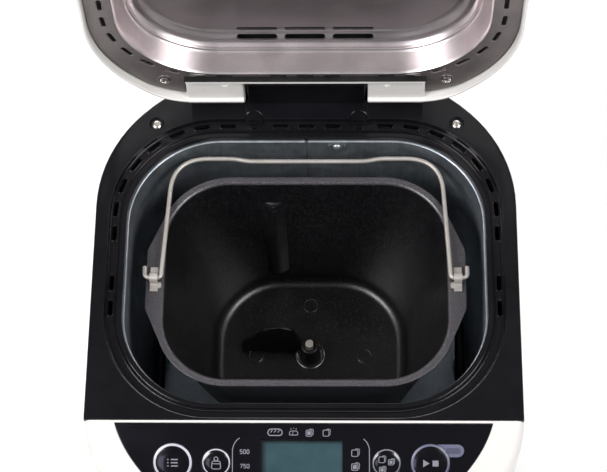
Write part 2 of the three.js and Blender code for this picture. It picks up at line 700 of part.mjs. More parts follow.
const FINISH = {
  white: { color: 0xeceae6, roughness: 0.35, metalness: 0 },
  black: { color: 0x1b1a1e, roughness: 0.4, metalness: 0 },
  gloss: { color: 0x0b0a12, roughness: 0.12, metalness: 0 },
  steel: { color: 0xc9c7c4, roughness: 0.28, metalness: 1 },
  galvanised: { color: 0x8d979f, roughness: 0.4, metalness: 1 },
  painted: { color: 0x4a4648, roughness: 0.45, metalness: 0.6 },
  nonstick: { color: 0x2b2a2d, roughness: 0.5, metalness: 0.3 },
  rubber: { color: 0x222222, roughness: 0.9, metalness: 0 },
  plastic: { color: 0x8a8a88, roughness: 0.6, metalness: 0 },
  board: { color: 0x2c6b3f, roughness: 0.5, metalness: 0 },
  display: { color: 0x3f5f62, roughness: 0.15, metalness: 0 },
  lilac: { color: 0x9a9ac0, roughness: 0.3, metalness: 0 },
};

function add(name, solid, finish, parent = machine) {
  const mesh = new THREE.Mesh(
    toGeometry(solid),
    new THREE.MeshStandardMaterial(FINISH[finish]),
  );
  mesh.name = name;
  parent.add(mesh);
  return mesh;
}

// ---------------------------------------------------------------- housing

// Everything above the seam under the deck's skirt and the panel's skirt.
function aboveSeam(drop) {
  const slope = Math.tan(PANEL_SLOPE);
  const far = 2 * PANEL_DEPTH;
  const seam = DECK_TOP - drop;
  const profile = new THREE.Shape([
    new THREE.Vector2(-DECK_FRONT, seam),
    new THREE.Vector2(DECK_REAR + far, seam),
    new THREE.Vector2(DECK_REAR + far, DECK_TOP + far),
    new THREE.Vector2(-DECK_FRONT - far, DECK_TOP + far),
    new THREE.Vector2(-DECK_FRONT - far, seam - far * slope),
  ]);
  const geometry = new THREE.ExtrudeGeometry(profile, {
    depth: 4 * BODY_HALF_WIDTH,
    bevelEnabled: false,
  });
  geometry.rotateX(Math.PI / 2);
  geometry.rotateZ(Math.PI / 2);
  geometry.translate(-2 * BODY_HALF_WIDTH, 0, 0);
  return toSolid(geometry);
}

function bodyShell() {
  const plinthTop = SHELL_BOTTOM + PLINTH_HEIGHT;
  const levels = [
    [SHELL_BOTTOM, PLINTH_INSET],
    [SHELL_BOTTOM + PLINTH_HEIGHT * 0.4, PLINTH_INSET * 0.36],
    [plinthTop, 0],
    [DECK_TOP, 0],
  ];
  const hollow = levels.map(([z, inset]) => [z, inset + BODY_WALL]);
  hollow[0][0] -= 1;
  hollow[3][0] += 1;
  const shell = cut(
    loft(insetRings(BODY_CORNERS, levels)),
    loft(insetRings(BODY_CORNERS, hollow)),
    aboveSeam(DECK_SKIRT + GAP),
  );
  const glandHole = post(0, 0, GLAND_RADIUS + GAP, -20, 20).rotate([90, 0, 0]);
  return cut(shell, shifted(glandHole, GLAND_X, DECK_REAR, GLAND_HEIGHT));
}
add("body_shell", bodyShell(), "white");

function basePlate() {
  const bottom = FOOT_HEIGHT + GAP;
  const edge = PLINTH_INSET + 1;
  const rim = PLINTH_INSET + BODY_WALL + 1;
  const plate = join(
    prism(outline(BODY_CORNERS, edge), bottom, BASE_TOP),
    cut(
      prism(outline(BODY_CORNERS, rim), bottom, BASE_TOP + BASE_RIM_HEIGHT),
      prism(outline(BODY_CORNERS, rim + BASE_RIM_WIDTH), bottom, BASE_TOP + 4),
    ),
  );
  const vents = [];
  const rear = DECK_REAR - BASE_VENT_END;
  const front = rear - BASE_VENT_LENGTH;
  for (let i = 0; i < BASE_VENT_COUNT; i += 1) {
    const left = (i - (BASE_VENT_COUNT - 1) / 2) * BASE_VENT_PITCH - BASE_VENT_WIDTH / 2;
    vents.push(block(left, left + BASE_VENT_WIDTH, front, rear, bottom - 1, BASE_TOP + 1));
  }
  const stemHoles = footPlaces().map(({ x, y }) =>
    post(x, y, FOOT_STEM_RADIUS + GAP, bottom - 1, BASE_TOP + 1),
  );
  return cut(plate, ...vents, ...stemHoles);
}

function footPlaces() {
  const side = BODY_HALF_WIDTH - FOOT_SIDE;
  const front = FRONT_Y + FOOT_FRONT;
  const rear = DECK_REAR - FOOT_REAR;
  return [
    { name: "foot_front_left", x: -side, y: front },
    { name: "foot_front_right", x: side, y: front },
    { name: "foot_rear_left", x: -side, y: rear },
    { name: "foot_rear_right", x: side, y: rear },
  ];
}
add("base_plate", basePlate(), "plastic");

footPlaces().forEach(({ name, x, y }) => {
  const foot = turned(
    [
      [0, 0],
      [FOOT_RADIUS - FOOT_CHAMFER, 0],
      [FOOT_RADIUS, FOOT_CHAMFER],
      [FOOT_RADIUS, FOOT_HEIGHT],
      [FOOT_STEM_RADIUS, FOOT_HEIGHT],
      [FOOT_STEM_RADIUS, BASE_TOP + 2],
      [0, BASE_TOP + 2],
    ],
    14,
  );
  add(name, shifted(foot, x, y, 0), "rubber");
});

// The deck: a D-shaped cover with a vented groove round the opening and the hinge block.
function deck() {
  const bottom = DECK_TOP - DECK_SKIRT;
  const cover = cut(
    loft(
      insetRings(DECK_CORNERS, [
        [bottom, 0],
        [DECK_TOP - 1.4, 0],
        [DECK_TOP - 0.4, 0.4],
        [DECK_TOP, 1.4],
      ]),
    ),
    prism(outline(DECK_CORNERS, BODY_WALL), bottom - 1, DECK_TOP - DECK_THICKNESS),
  );
  const channel = prism(
    outline(GROOVE_CORNERS, -BODY_WALL).map(
      (p) => new THREE.Vector2(p.x, Math.max(p.y, -DECK_FRONT + 0.2)),
    ),
    DECK_TOP - GROOVE_DEPTH - GROOVE_FLOOR,
    DECK_TOP - DECK_THICKNESS / 2,
  );
  const rib = prism(
    outline(OVEN_CORNERS, -DECK_LIP - RIB_WIDTH),
    DECK_TOP - GROOVE_DEPTH - 1,
    DECK_TOP - GROOVE_DEPTH + RIB_HEIGHT,
  );
  const grooveBottom = DECK_TOP - GROOVE_DEPTH;
  const blockTop = DECK_TOP + HINGE_HEIGHT;
  const hingeBlock = join(
    crossBar(-HINGE_BLOCK_HALF, HINGE_BLOCK_HALF, HINGE_Y, blockTop, HINGE_BLOCK_RADIUS),
    block(
      -HINGE_BLOCK_HALF,
      HINGE_BLOCK_HALF,
      HINGE_Y - HINGE_BLOCK_RADIUS,
      HINGE_Y + HINGE_BLOCK_RADIUS,
      DECK_TOP - DECK_THICKNESS / 2,
      blockTop,
    ),
  );
  const pinBores = hingePinSpans().map(([x0, x1]) =>
    crossBar(x0 - GAP, x1 + GAP, HINGE_Y, blockTop, HINGE_PIN_RADIUS + RUNNING_GAP, 16),
  );
  const bossBottom = bottom + 2;
  const screwBosses = [-1, 1].map((side) =>
    post(
      side * DECK_SCREW_X,
      DECK_SCREW_Y,
      SCREW_POCKET_RADIUS + SCREW_BOSS_WALL,
      bossBottom,
      DECK_TOP - DECK_THICKNESS / 2,
    ),
  );
  const screwPockets = [-1, 1].flatMap((side) => [
    post(
      side * DECK_SCREW_X,
      DECK_SCREW_Y,
      SCREW_POCKET_RADIUS,
      DECK_TOP - SCREW_POCKET_DEPTH,
      DECK_TOP + 1,
    ),
    post(
      side * DECK_SCREW_X,
      DECK_SCREW_Y,
      SCREW_SHANK_RADIUS + GAP,
      bossBottom - 1,
      DECK_TOP,
      12,
    ),
  ]);
  return cut(
    join(
      cut(
        join(cover, channel),
        prism(outline(GROOVE_CORNERS, 0), grooveBottom, DECK_TOP + 1),
      ),
      rib,
      hingeBlock,
      ...screwBosses,
    ),
    prism(outline(OVEN_CORNERS, -DECK_LIP), bottom, DECK_TOP + 1),
    ...ventCutters(grooveBottom - GROOVE_FLOOR - 1, DECK_TOP + 1),
    ...pinBores,
    ...screwPockets,
  );
}

function hingePinSpans() {
  const middle = (HINGE_BLOCK_HALF + KNUCKLE_INNER) / 2;
  const half = HINGE_PIN_LENGTH / 2;
  return [
    [-middle - half, -middle + half],
    [middle - half, middle + half],
  ];
}
add("deck", deck(), "black");

hingePinSpans().forEach(([x0, x1], i) => {
  const pin = crossBar(x0, x1, HINGE_Y, DECK_TOP + HINGE_HEIGHT, HINGE_PIN_RADIUS, 16);
  add(i === 0 ? "hinge_pin_left" : "hinge_pin_right", pin, "steel");
});

// A pan-head screw whose head rests at z = 0 and whose shank points down.
function screw() {
  return turned(
    [
      [0, -SCREW_SHANK_LENGTH],
      [SCREW_SHANK_RADIUS, -SCREW_SHANK_LENGTH],
      [SCREW_SHANK_RADIUS, 0],
      [SCREW_HEAD_RADIUS, 0],
      [SCREW_HEAD_RADIUS, SCREW_HEAD_HEIGHT * 0.5],
      [SCREW_HEAD_RADIUS * 0.72, SCREW_HEAD_HEIGHT],
      [0, SCREW_HEAD_HEIGHT],
    ],
    12,
  );
}

[-1, 1].forEach((side) => {
  const seat = DECK_TOP - SCREW_POCKET_DEPTH + GAP;
  const place = shifted(screw(), side * DECK_SCREW_X, DECK_SCREW_Y, seat);
  add(side < 0 ? "deck_screw_left" : "deck_screw_right", place, "steel");
});

// ---------------------------------------------------------------- control panel

// A D-shaped sheet whose sides curve in towards the lower edge.
function fasciaOutline(inset) {
  const top = -FASCIA_TOP - inset;
  const bottom = -(PANEL_DEPTH / Math.cos(PANEL_SLOPE)) + FASCIA_FOOT_MARGIN + inset;
  const half = FASCIA_TOP_HALF - inset;
  const side = BODY_HALF_WIDTH - FASCIA_SIDE.fromSide - inset;
  const shoulder = BODY_HALF_WIDTH - FASCIA_SHOULDER.fromSide - inset;
  const turn = -FASCIA_SHOULDER.row + inset / 2;
  const corner = BODY_HALF_WIDTH - FASCIA_CORNER - inset / 2;
  const foot = BODY_HALF_WIDTH - FASCIA_FOOT;
  const shape = new THREE.Shape();
  shape.moveTo(-half, top);
  shape.quadraticCurveTo(-side, -FASCIA_SIDE.row, -shoulder, turn);
  shape.quadraticCurveTo(-corner, bottom, -foot, bottom);
  shape.lineTo(foot, bottom);
  shape.quadraticCurveTo(corner, bottom, shoulder, turn);
  shape.quadraticCurveTo(side, -FASCIA_SIDE.row, half, top);
  return shape;
}

const BUTTONS = [
  { name: "menu_button", place: -LARGE_BUTTON_X, row: BUTTON_ROW, radius: LARGE_BUTTON_RADIUS },
  { name: "weight_button", place: -SMALL_BUTTON_X, row: BUTTON_ROW, radius: SMALL_BUTTON_RADIUS },
  { name: "crust_button", place: SMALL_BUTTON_X, row: BUTTON_ROW, radius: SMALL_BUTTON_RADIUS },
  { name: "start_button", place: LARGE_BUTTON_X, row: BUTTON_ROW, radius: LARGE_BUTTON_RADIUS },
  { name: "timer_down_button", place: -TIMER_BUTTON_X, row: TIMER_ROW, radius: TIMER_BUTTON_RADIUS },
  { name: "timer_up_button", place: TIMER_BUTTON_X, row: TIMER_ROW, radius: TIMER_BUTTON_RADIUS },
].map((button) => ({ ...button, x: KEYS_X + button.place }));

// From the panel's own frame into the machine's.
function ontoPanel(solid) {
  const degrees = THREE.MathUtils.radToDeg(PANEL_SLOPE);
  return solid.rotate([degrees, 0, 0]).translate([0, -DECK_FRONT, DECK_TOP]);
}

function controlSurround() {
  const bottom = DECK_TOP - SURROUND_SKIRT;
  const outer = loft(
    insetRings(BODY_CORNERS, [
      [bottom, 0],
      [DECK_TOP - 5, 0],
      [DECK_TOP - 2.3, 0.9],
      [DECK_TOP - 0.8, 2.6],
      [DECK_TOP, 5.5],
    ]),
  );
  const hollow = prism(
    outline(BODY_CORNERS, BODY_WALL),
    bottom - 1,
    DECK_TOP - SURROUND_THICKNESS / Math.cos(PANEL_SLOPE),
  );
  const rearPart = block(
    -BODY_HALF_WIDTH - 5,
    BODY_HALF_WIDTH + 5,
    -DECK_FRONT - GAP,
    DECK_REAR + 5,
    bottom - 5,
    DECK_TOP + 5,
  );
  const level = cut(outer, hollow, rearPart);
  const slope = Math.tan(PANEL_SLOPE);
  const sloped = shifted(sheared(level, { zPerY: slope }), 0, 0, DECK_FRONT * slope);
  const recessFloor = -FASCIA_THICKNESS - GAP;
  const posts = [-1, 1].map((side) =>
    post(
      side * BOARD_POST_X,
      -BOARD_POST_ROW,
      BOARD_POST_RADIUS,
      -BOARD_LEVEL + GAP,
      -SURROUND_THICKNESS + 0.5,
      12,
    ),
  );
  return cut(
    join(sloped, ...posts.map(ontoPanel)),
    ontoPanel(extruded(fasciaOutline(-GAP), recessFloor, 10)),
    ontoPanel(extruded(fasciaOutline(FASCIA_LEDGE), -BOARD_LEVEL, 10)),
  );
}
add("control_surround", controlSurround(), "white");

function displayOpening(growth) {
  return new THREE.Shape(
    outline(
      rectangle(
        DISPLAY_HALF_WIDTH + growth,
        -DISPLAY_TOP - DISPLAY_HEIGHT - growth,
        -DISPLAY_TOP + growth,
        2 + growth,
      ),
      0,
      3,
    ).map((p) => new THREE.Vector2(p.x + KEYS_X, p.y)),
  );
}

// The lamp lens is a short bar whose inner end follows the start button.
function lensSolid(growth, bottom, top) {
  const bar = prism(
    outline(
      rectangle(
        LENS_REACH / 2 + growth,
        -LENS_HALF - growth,
        LENS_HALF + growth,
        LENS_HALF + growth,
      ),
      0,
      6,
    ).map((p) => new THREE.Vector2(p.x + START_X + LENS_REACH / 2, p.y - LENS_ROW)),
    bottom,
    top,
  );
  const clearance = LARGE_BUTTON_RADIUS + 1.2 - growth;
  return cut(bar, post(START_X, -BUTTON_ROW, clearance, bottom - 1, top + 1, 24));
}

function controlFascia() {
  const sheet = extruded(fasciaOutline(0), -FASCIA_THICKNESS, 0);
  return cut(
    sheet,
    extruded(displayOpening(GAP), -FASCIA_THICKNESS - 1, 1),
    lensSolid(GAP, -FASCIA_THICKNESS - 1, 1),
    ...BUTTONS.map(({ x, row, radius }) =>
      post(x, -row, radius, -FASCIA_THICKNESS - 1, 1, 24),
    ),
  );
}
add("control_fascia", controlFascia(), "gloss", panel);

add("display_window", extruded(displayOpening(0), -FASCIA_THICKNESS, 0), "display", panel);
add(
  "display_module",
  extruded(displayOpening(DISPLAY_MARGIN), -BOARD_LEVEL + GAP, -FASCIA_THICKNESS - GAP),
  "plastic",
  panel,
);
add("indicator_lens", lensSolid(0, -FASCIA_THICKNESS, 0.2), "lilac", panel);

BUTTONS.forEach(({ name, x, row, radius }) => {
  const face = radius - RUNNING_GAP;
  const flangeTop = -FASCIA_THICKNESS - GAP;
  const cap = turned(
    [
      [0, -BUTTON_DEPTH],
      [radius + BUTTON_FLANGE, -BUTTON_DEPTH],
      [radius + BUTTON_FLANGE, flangeTop],
      [face, flangeTop],
      [face, BUTTON_RISE - 0.5],
      [face - 0.6, BUTTON_RISE],
      [0, BUTTON_RISE - 0.3],
    ],
    24,
  );
  add(name, shifted(cap, x, -row, 0), "gloss", panel);
});

function controlBoard() {
  const under = -BOARD_LEVEL - BOARD_THICKNESS;
  const inBoard = -BOARD_LEVEL - BOARD_THICKNESS / 2;
  const bottom = -TIMER_ROW - TIMER_BUTTON_RADIUS;
  const earX = BOARD_POST_X + BOARD_EAR;
  const sheet = join(
    block(-BOARD_HALF_WIDTH, BOARD_HALF_WIDTH, bottom, -BOARD_TOP, under, -BOARD_LEVEL),
    block(
      -earX,
      earX,
      -BOARD_POST_ROW - BOARD_EAR,
      -BOARD_POST_ROW + BOARD_EAR,
      under,
      -BOARD_LEVEL,
    ),
  );
  const switchTop = -BUTTON_DEPTH - BUTTON_TRAVEL - GAP;
  const square = (x, row, half, top) =>
    block(x - half, x + half, -row - half, -row + half, inBoard, top);
  const switches = BUTTONS.map(({ x, row }) => square(x, row, SWITCH_HALF, switchTop));
  const lamp = square(
    START_X + LENS_REACH - LAMP_INSET,
    LENS_ROW,
    LAMP_HALF,
    -FASCIA_THICKNESS - GAP,
  );
  return join(sheet, ...switches, lamp);
}
add("control_board", controlBoard(), "board", panel);

// ---------------------------------------------------------------- lid, in hinge coordinates

// Closed lid coordinates have the hinge axis at their origin.
const LID_ORIGIN = [0, -HINGE_Y, -HINGE_HEIGHT];

function lidSpace(solid) {
  return solid.translate(LID_ORIGIN);
}

function lidShell() {
  const levels = [
    [LID_SEAT, 0.6],
    [LID_SEAT + 0.8, 0],
    [LID_HEIGHT * 0.5, 0.4],
    [LID_HEIGHT * 0.7, 3],
    [LID_HEIGHT * 0.84, 9],
    [LID_HEIGHT * 0.93, 17],
    [LID_HEIGHT, 32],
  ];
  const hollow = levels.slice(1).map(([z, inset]) => [z - LID_WALL, inset + LID_WALL]);
  hollow[0][0] = LID_SEAT - 1;
  const barrels = [
    [-KNUCKLE_OUTER, -KNUCKLE_INNER],
    [KNUCKLE_INNER, KNUCKLE_OUTER],
  ].map(([x0, x1]) =>
    join(
      crossBar(x0, x1, HINGE_Y, HINGE_HEIGHT, KNUCKLE_RADIUS, 24),
      block(
        x0,
        x1,
        LID_NOTCH_Y,
        HINGE_Y,
        HINGE_HEIGHT - KNUCKLE_RADIUS + 0.2,
        LID_HEIGHT * 0.8,
      ),
    ),
  );
  const bridge = block(
    -KNUCKLE_OUTER,
    KNUCKLE_OUTER,
    LID_NOTCH_Y - LID_BRIDGE,
    LID_NOTCH_Y,
    LID_SEAT + 0.6,
    LID_HEIGHT * 0.8,
  );
  const bossTop = LID_HEIGHT * 0.86;
  const bossBottom = FLANGE_LEVEL + FLANGE_THICKNESS + GAP;
  const bosses = lidScrewPlaces().map(({ x, y }) =>
    post(x, y, LID_BOSS_RADIUS, bossBottom, bossTop, 10),
  );
  const grip = prism(
    outline(
      rectangle(LID_GRIP_HALF, -DECK_FRONT - LID_GRIP_REACH, -DECK_FRONT + 1, LID_GRIP_REACH / 2),
    ),
    LID_SEAT + 2,
    LID_SEAT + 2 + LID_GRIP_HEIGHT,
  );
  const outer = loft(insetRings(LID_CORNERS, levels));
  const notchTop = HINGE_HEIGHT + HINGE_BLOCK_RADIUS + NOTCH_CLEARANCE;
  const notch = block(
    -KNUCKLE_INNER,
    KNUCKLE_INNER,
    LID_NOTCH_Y,
    LID_REAR + KNUCKLE_RADIUS,
    -1,
    notchTop,
  );
  const notchRoof = block(
    -KNUCKLE_INNER - 1,
    KNUCKLE_INNER + 1,
    LID_NOTCH_Y - 1,
    LID_REAR - 1,
    notchTop,
    notchTop + LID_WALL,
  );
  const inside = join(bridge, notchRoof, ...bosses).intersect(outer);
  const shell = join(cut(outer, loft(insetRings(LID_CORNERS, hollow))), inside);
  const pinBores = hingePinSpans().map(([x0, x1]) =>
    crossBar(x0 - GAP, x1 + GAP, HINGE_Y, HINGE_HEIGHT, HINGE_PIN_RADIUS + RUNNING_GAP, 16),
  );
  const screwHoles = lidScrewPlaces().map(({ x, y }) =>
    post(x, y, SCREW_SHANK_RADIUS + GAP, 0, bossBottom + SCREW_SHANK_LENGTH, 10),
  );
  return cut(join(shell, ...barrels, grip), notch, ...pinBores, ...screwHoles);
}

function lidScrewPlaces() {
  const rearX = BODY_HALF_WIDTH - LID_SCREW_REAR_SIDE;
  const rearY = DECK_REAR - LID_SCREW_REAR_END;
  const frontX = BODY_HALF_WIDTH - LID_SCREW_FRONT_SIDE;
  const frontY = LID_SCREW_FRONT_END - DECK_FRONT;
  return [
    { name: "lid_screw_rear_left", x: -rearX, y: rearY },
    { name: "lid_screw_rear_right", x: rearX, y: rearY },
    { name: "lid_screw_front_left", x: -frontX, y: frontY },
    { name: "lid_screw_front_right", x: frontX, y: frontY },
  ];
}
add("lid_shell", lidSpace(lidShell()), "white", lid);

// The painted plate round the dish, with vents over those of the deck.
function lidFlange() {
  const bottom = FLANGE_LEVEL;
  const top = FLANGE_LEVEL + FLANGE_THICKNESS;
  const knuckleBay = block(
    -KNUCKLE_OUTER - 1,
    KNUCKLE_OUTER + 1,
    LID_NOTCH_Y - LID_BRIDGE - GAP,
    LID_REAR + 20,
    bottom - 1,
    top + 1,
  );
  return cut(
    prism(outline(LID_CORNERS, LID_WALL + 1), bottom, top),
    prism(outline(DISH_CORNERS, -GAP), bottom - 1, top + 1),
    knuckleBay,
    ...ventCutters(bottom - 1, top + 1),
    ...lidScrewPlaces().map(({ x, y }) =>
      post(x, y, SCREW_SHANK_RADIUS + GAP, bottom - 1, top + 1, 12),
    ),
  );
}
add("lid_flange", lidSpace(lidFlange()), "painted", lid);

function lidDish() {
  const lip = FLANGE_LEVEL + FLANGE_THICKNESS + GAP;
  const mouth = FLANGE_LEVEL - 0.4;
  const wallTop = mouth + DISH_WALL_HEIGHT;
  const bandTop = wallTop + DISH_BAND_HEIGHT;
  const roof = bandTop + DISH_SHOULDER_HEIGHT;
  const bandInset = DISH_WALL_DRAFT + DISH_BAND_DRAFT;
  const roofInset = bandInset + DISH_SHOULDER_DRAFT;
  const inner = [
    [mouth, 0],
    [wallTop, DISH_WALL_DRAFT],
    [bandTop, bandInset],
    [roof, roofInset],
  ];
  const outer = inner.map(([z, inset]) => [z, inset - DISH_SHEET]);
  outer[3][0] += DISH_SHEET;
  const hollow = [[mouth - 1, -DISH_WALL_DRAFT / DISH_WALL_HEIGHT], ...inner.slice(1)];
  const bowlCorners = rectangle(
    OVEN_HALF_WIDTH - DISH_SHEET,
    -DISH_FRONT + DISH_SHEET,
    DISH_REAR - DISH_SHEET,
    DISH_RADIUS - DISH_SHEET,
  );
  const bowl = loft(insetRings(bowlCorners, outer));
  const flange = prism(outline(DISH_CORNERS, -DISH_LIP), lip, lip + DISH_SHEET);
  const vents = DISH_VENT_ROWS.flatMap(({ fromRear, width }) =>
    [-1, 0, 1].map((column) => {
      const x = column * DISH_VENT_PITCH;
      const half = DISH_VENT_LENGTH / 2;
      return shifted(
        prism(outline(rectangle(half, -width / 2, width / 2, width / 2.2), 0, 2), 0, 40),
        x,
        DISH_REAR - fromRear,
        wallTop,
      );
    }),
  );
  return cut(join(bowl, flange), loft(insetRings(bowlCorners, hollow)), ...vents);
}
add("lid_dish", lidSpace(lidDish()), "steel", lid);

lidScrewPlaces().forEach(({ name, x, y }) => {
  const place = screw().rotate([180, 0, 0]).translate([x, y, FLANGE_LEVEL - GAP]);
  add(name, lidSpace(place), "steel", lid);
});

// ---------------------------------------------------------------- oven

function ovenChamber() {
  const rise = OVEN_FLOOR + OVEN_FLOOR_RADIUS;
  const inner = [
    [OVEN_FLOOR, OVEN_DRAFT + OVEN_FLOOR_RADIUS],
    [OVEN_FLOOR + OVEN_FLOOR_RADIUS * 0.3, OVEN_DRAFT + OVEN_FLOOR_RADIUS * 0.3],
    [rise, OVEN_DRAFT],
    [OVEN_TOP, 0],
  ];
  const outer = inner.map(([z, inset]) => [z, inset - OVEN_SHEET]);
  outer[0][0] -= OVEN_SHEET;
  inner[3] = [OVEN_TOP + 1, 0];
  const flange = prism(outline(OVEN_CORNERS, -OVEN_FLANGE), OVEN_TOP - OVEN_SHEET, OVEN_TOP);
  const tails = [-ELEMENT_TAIL_X, ELEMENT_TAIL_X].map((x) =>
    shifted(
      post(0, 0, ELEMENT_RADIUS + GAP, -12, 12, 16).rotate([90, 0, 0]),
      x,
      OVEN_HALF_DEPTH,
      ELEMENT_LEVEL,
    ),
  );
  const sensorHole = shifted(
    post(0, 0, SENSOR_RADIUS + GAP, -12, 12, 16).rotate([90, 0, 0]),
    SENSOR_X,
    OVEN_HALF_DEPTH,
    DECK_TOP - SENSOR_DROP,
  );
  return cut(
    join(loft(insetRings(OVEN_CORNERS, outer)), flange),
    loft(insetRings(OVEN_CORNERS, inner)),
    post(0, 0, OVEN_DRIVE_HOLE, OVEN_UNDERSIDE - 1, OVEN_FLOOR + 1, 32),
    ...tails,
    sensorHole,
  );
}
add("oven_chamber", ovenChamber(), "galvanised");

function heatingElement() {
  const inset = OVEN_DRAFT + ELEMENT_WALL_GAP + ELEMENT_RADIUS;
  const halfX = OVEN_HALF_WIDTH - inset;
  const halfY = OVEN_HALF_DEPTH - inset;
  const tailEnd = OVEN_HALF_DEPTH + ELEMENT_TAIL;
  const at = (x, y) => new THREE.Vector3(x, y, ELEMENT_LEVEL);
  const points = [
    at(ELEMENT_TAIL_X, tailEnd),
    at(ELEMENT_TAIL_X, halfY),
    at(halfX, halfY),
    at(halfX, -halfY),
    at(-halfX, -halfY),
    at(-halfX, halfY),
    at(-ELEMENT_TAIL_X, halfY),
    at(-ELEMENT_TAIL_X, tailEnd),
  ];
  const tight = ELEMENT_TAIL_BEND;
  const wide = ELEMENT_CORNER;
  const reaches = [0, tight, wide, wide, wide, wide, tight, 0];
  return wire(bentPath(points, reaches), ELEMENT_RADIUS);
}
add("heating_element", heatingElement(), "painted");

[-1, 1].forEach((side) => {
  const inset = OVEN_DRAFT + ELEMENT_WALL_GAP + ELEMENT_RADIUS;
  const x = side * (OVEN_HALF_WIDTH - inset);
  const half = SUPPORT_WIDTH / 2;
  const bottom = OVEN_FLOOR + GAP + OVEN_FLOOR_RADIUS * 0.4;
  const cradle = shifted(
    post(0, 0, ELEMENT_RADIUS + GAP, -20, 20, 16).rotate([90, 0, 0]),
    x,
    0,
    ELEMENT_LEVEL,
  );
  const foot = cut(
    block(x - half, x + half, -half, half, bottom, ELEMENT_LEVEL),
    cradle,
    loft(
      insetRings(OVEN_CORNERS, [
        [OVEN_UNDERSIDE, 0],
        [ELEMENT_LEVEL + ELEMENT_RISE, 0],
      ]),
    ).subtract(
      loft(
        insetRings(OVEN_CORNERS, [
          [OVEN_UNDERSIDE - 1, OVEN_DRAFT + OVEN_FLOOR_RADIUS * 0.3 + GAP],
          [ELEMENT_LEVEL + ELEMENT_RISE + 1, OVEN_DRAFT + OVEN_FLOOR_RADIUS * 0.3 + GAP],
        ]),
      ),
    ),
  );
  add(side < 0 ? "element_support_left" : "element_support_right", foot, "steel");
});

function temperatureSensor() {
  const wallInside = OVEN_HALF_DEPTH - OVEN_DRAFT;
  const flangeStart = OVEN_HALF_DEPTH + OVEN_SHEET + GAP;
  const probe = turned(
    [
      [0, -flangeStart - 4],
      [SENSOR_FLANGE, -flangeStart - 4],
      [SENSOR_FLANGE, -flangeStart],
      [SENSOR_RADIUS, -flangeStart],
      [SENSOR_RADIUS, -wallInside + SENSOR_REACH - 1],
      [SENSOR_RADIUS * 0.5, -wallInside + SENSOR_REACH],
      [0, -wallInside + SENSOR_REACH],
    ],
    16,
  );
  return probe.rotate([90, 0, 0]).translate([SENSOR_X, 0, DECK_TOP - SENSOR_DROP]);
}
add("temperature_sensor", temperatureSensor(), "steel");

add(
  "pan_seat",
  turned([
    [SEAT_HOLE, OVEN_FLOOR + GAP],
    [SEAT_RADIUS, OVEN_FLOOR + GAP],
    [SEAT_RADIUS, OVEN_FLOOR + GAP + SEAT_HEIGHT],
    [SEAT_RADIUS - SEAT_WALL, OVEN_FLOOR + GAP + SEAT_HEIGHT],
    [SEAT_RADIUS - SEAT_WALL, SEAT_TOP],
    [SEAT_HOLE, SEAT_TOP],
  ]),
  "steel",
);

// ---------------------------------------------------------------- bread pan

function panRings(levels) {
  return levels.map(({ z, drop, grow }) => {
    const share = drop / PAN_DEPTH;
    const corners = rectangle(
      PAN_HALF_WIDTH - PAN_SIDE_DRAFT * share + grow,
      -PAN_HALF_DEPTH + PAN_END_DRAFT * share - grow,
      PAN_HALF_DEPTH - PAN_END_DRAFT * share + grow,
      PAN_RADIUS + (PAN_FLOOR_RADIUS - PAN_RADIUS) * share + grow,
    );
    return { z, points: outline(corners, 0, 8) };
  });
}

function panBody() {
  const rim = PAN_RIM;
  const fillet = PAN_FLOOR_FILLET;
  const inner = [
    { z: PAN_FLOOR, drop: PAN_DEPTH, grow: -fillet },
    { z: PAN_FLOOR + fillet * 0.3, drop: PAN_DEPTH - fillet * 0.3, grow: -fillet * 0.3 },
    { z: PAN_FLOOR + fillet, drop: PAN_DEPTH - fillet, grow: 0 },
    { z: rim + 1, drop: -1, grow: 0 },
  ];
  const outer = [
    { z: PAN_UNDERSIDE, drop: PAN_DEPTH, grow: PAN_SHEET - fillet },
    {
      z: PAN_FLOOR + fillet * 0.3 - PAN_SHEET,
      drop: PAN_DEPTH - fillet * 0.3,
      grow: PAN_SHEET - fillet * 0.3,
    },
    { z: PAN_FLOOR + fillet, drop: PAN_DEPTH - fillet, grow: PAN_SHEET },
    { z: rim - PAN_SHEET / 2, drop: PAN_SHEET / 2, grow: PAN_SHEET },
  ];
  const earX = PAN_HALF_WIDTH + PAN_EAR_WIDTH;
  const rootX = PAN_HALF_WIDTH - PAN_FLANGE_WIDTH;
  const rootY = PAN_HALF_DEPTH - PAN_EAR_ROOT;
  const ears = [
    [-earX, -PAN_EAR_HALF, PAN_EAR_CORNER],
    [-rootX, -rootY, PAN_EAR_FLARE],
    [rootX, -rootY, PAN_EAR_FLARE],
    [earX, -PAN_EAR_HALF, PAN_EAR_CORNER],
    [earX, PAN_EAR_HALF, PAN_EAR_CORNER],
    [rootX, rootY, PAN_EAR_FLARE],
    [-rootX, rootY, PAN_EAR_FLARE],
    [-earX, PAN_EAR_HALF, PAN_EAR_CORNER],
  ];
  const flange = join(
    prism(outline(PAN_CORNERS, -PAN_FLANGE_WIDTH), rim - PAN_SHEET, rim),
    prism(outline(ears, 0, 3), rim - PAN_SHEET, rim),
  );
  const bosses = [0, 90, 180, 270].map((angle) => {
    const a = THREE.MathUtils.degToRad(angle);
    return post(
      PAN_BOSS_ORBIT * Math.cos(a),
      PAN_BOSS_ORBIT * Math.sin(a),
      PAN_BOSS_RADIUS,
      PAN_FLOOR - PAN_SHEET / 2,
      PAN_FLOOR + PAN_BOSS_HEIGHT,
      16,
    );
  });
  const vessel = loft(panRings(outer));
  const shell = cut(join(vessel, flange), loft(panRings(inner)));
  return cut(
    join(shell, panRib().intersect(vessel), ...bosses),
    post(0, 0, SHAFT_RADIUS + RUNNING_GAP, PAN_UNDERSIDE - 1, PAN_FLOOR + 1, 20),
  );
}

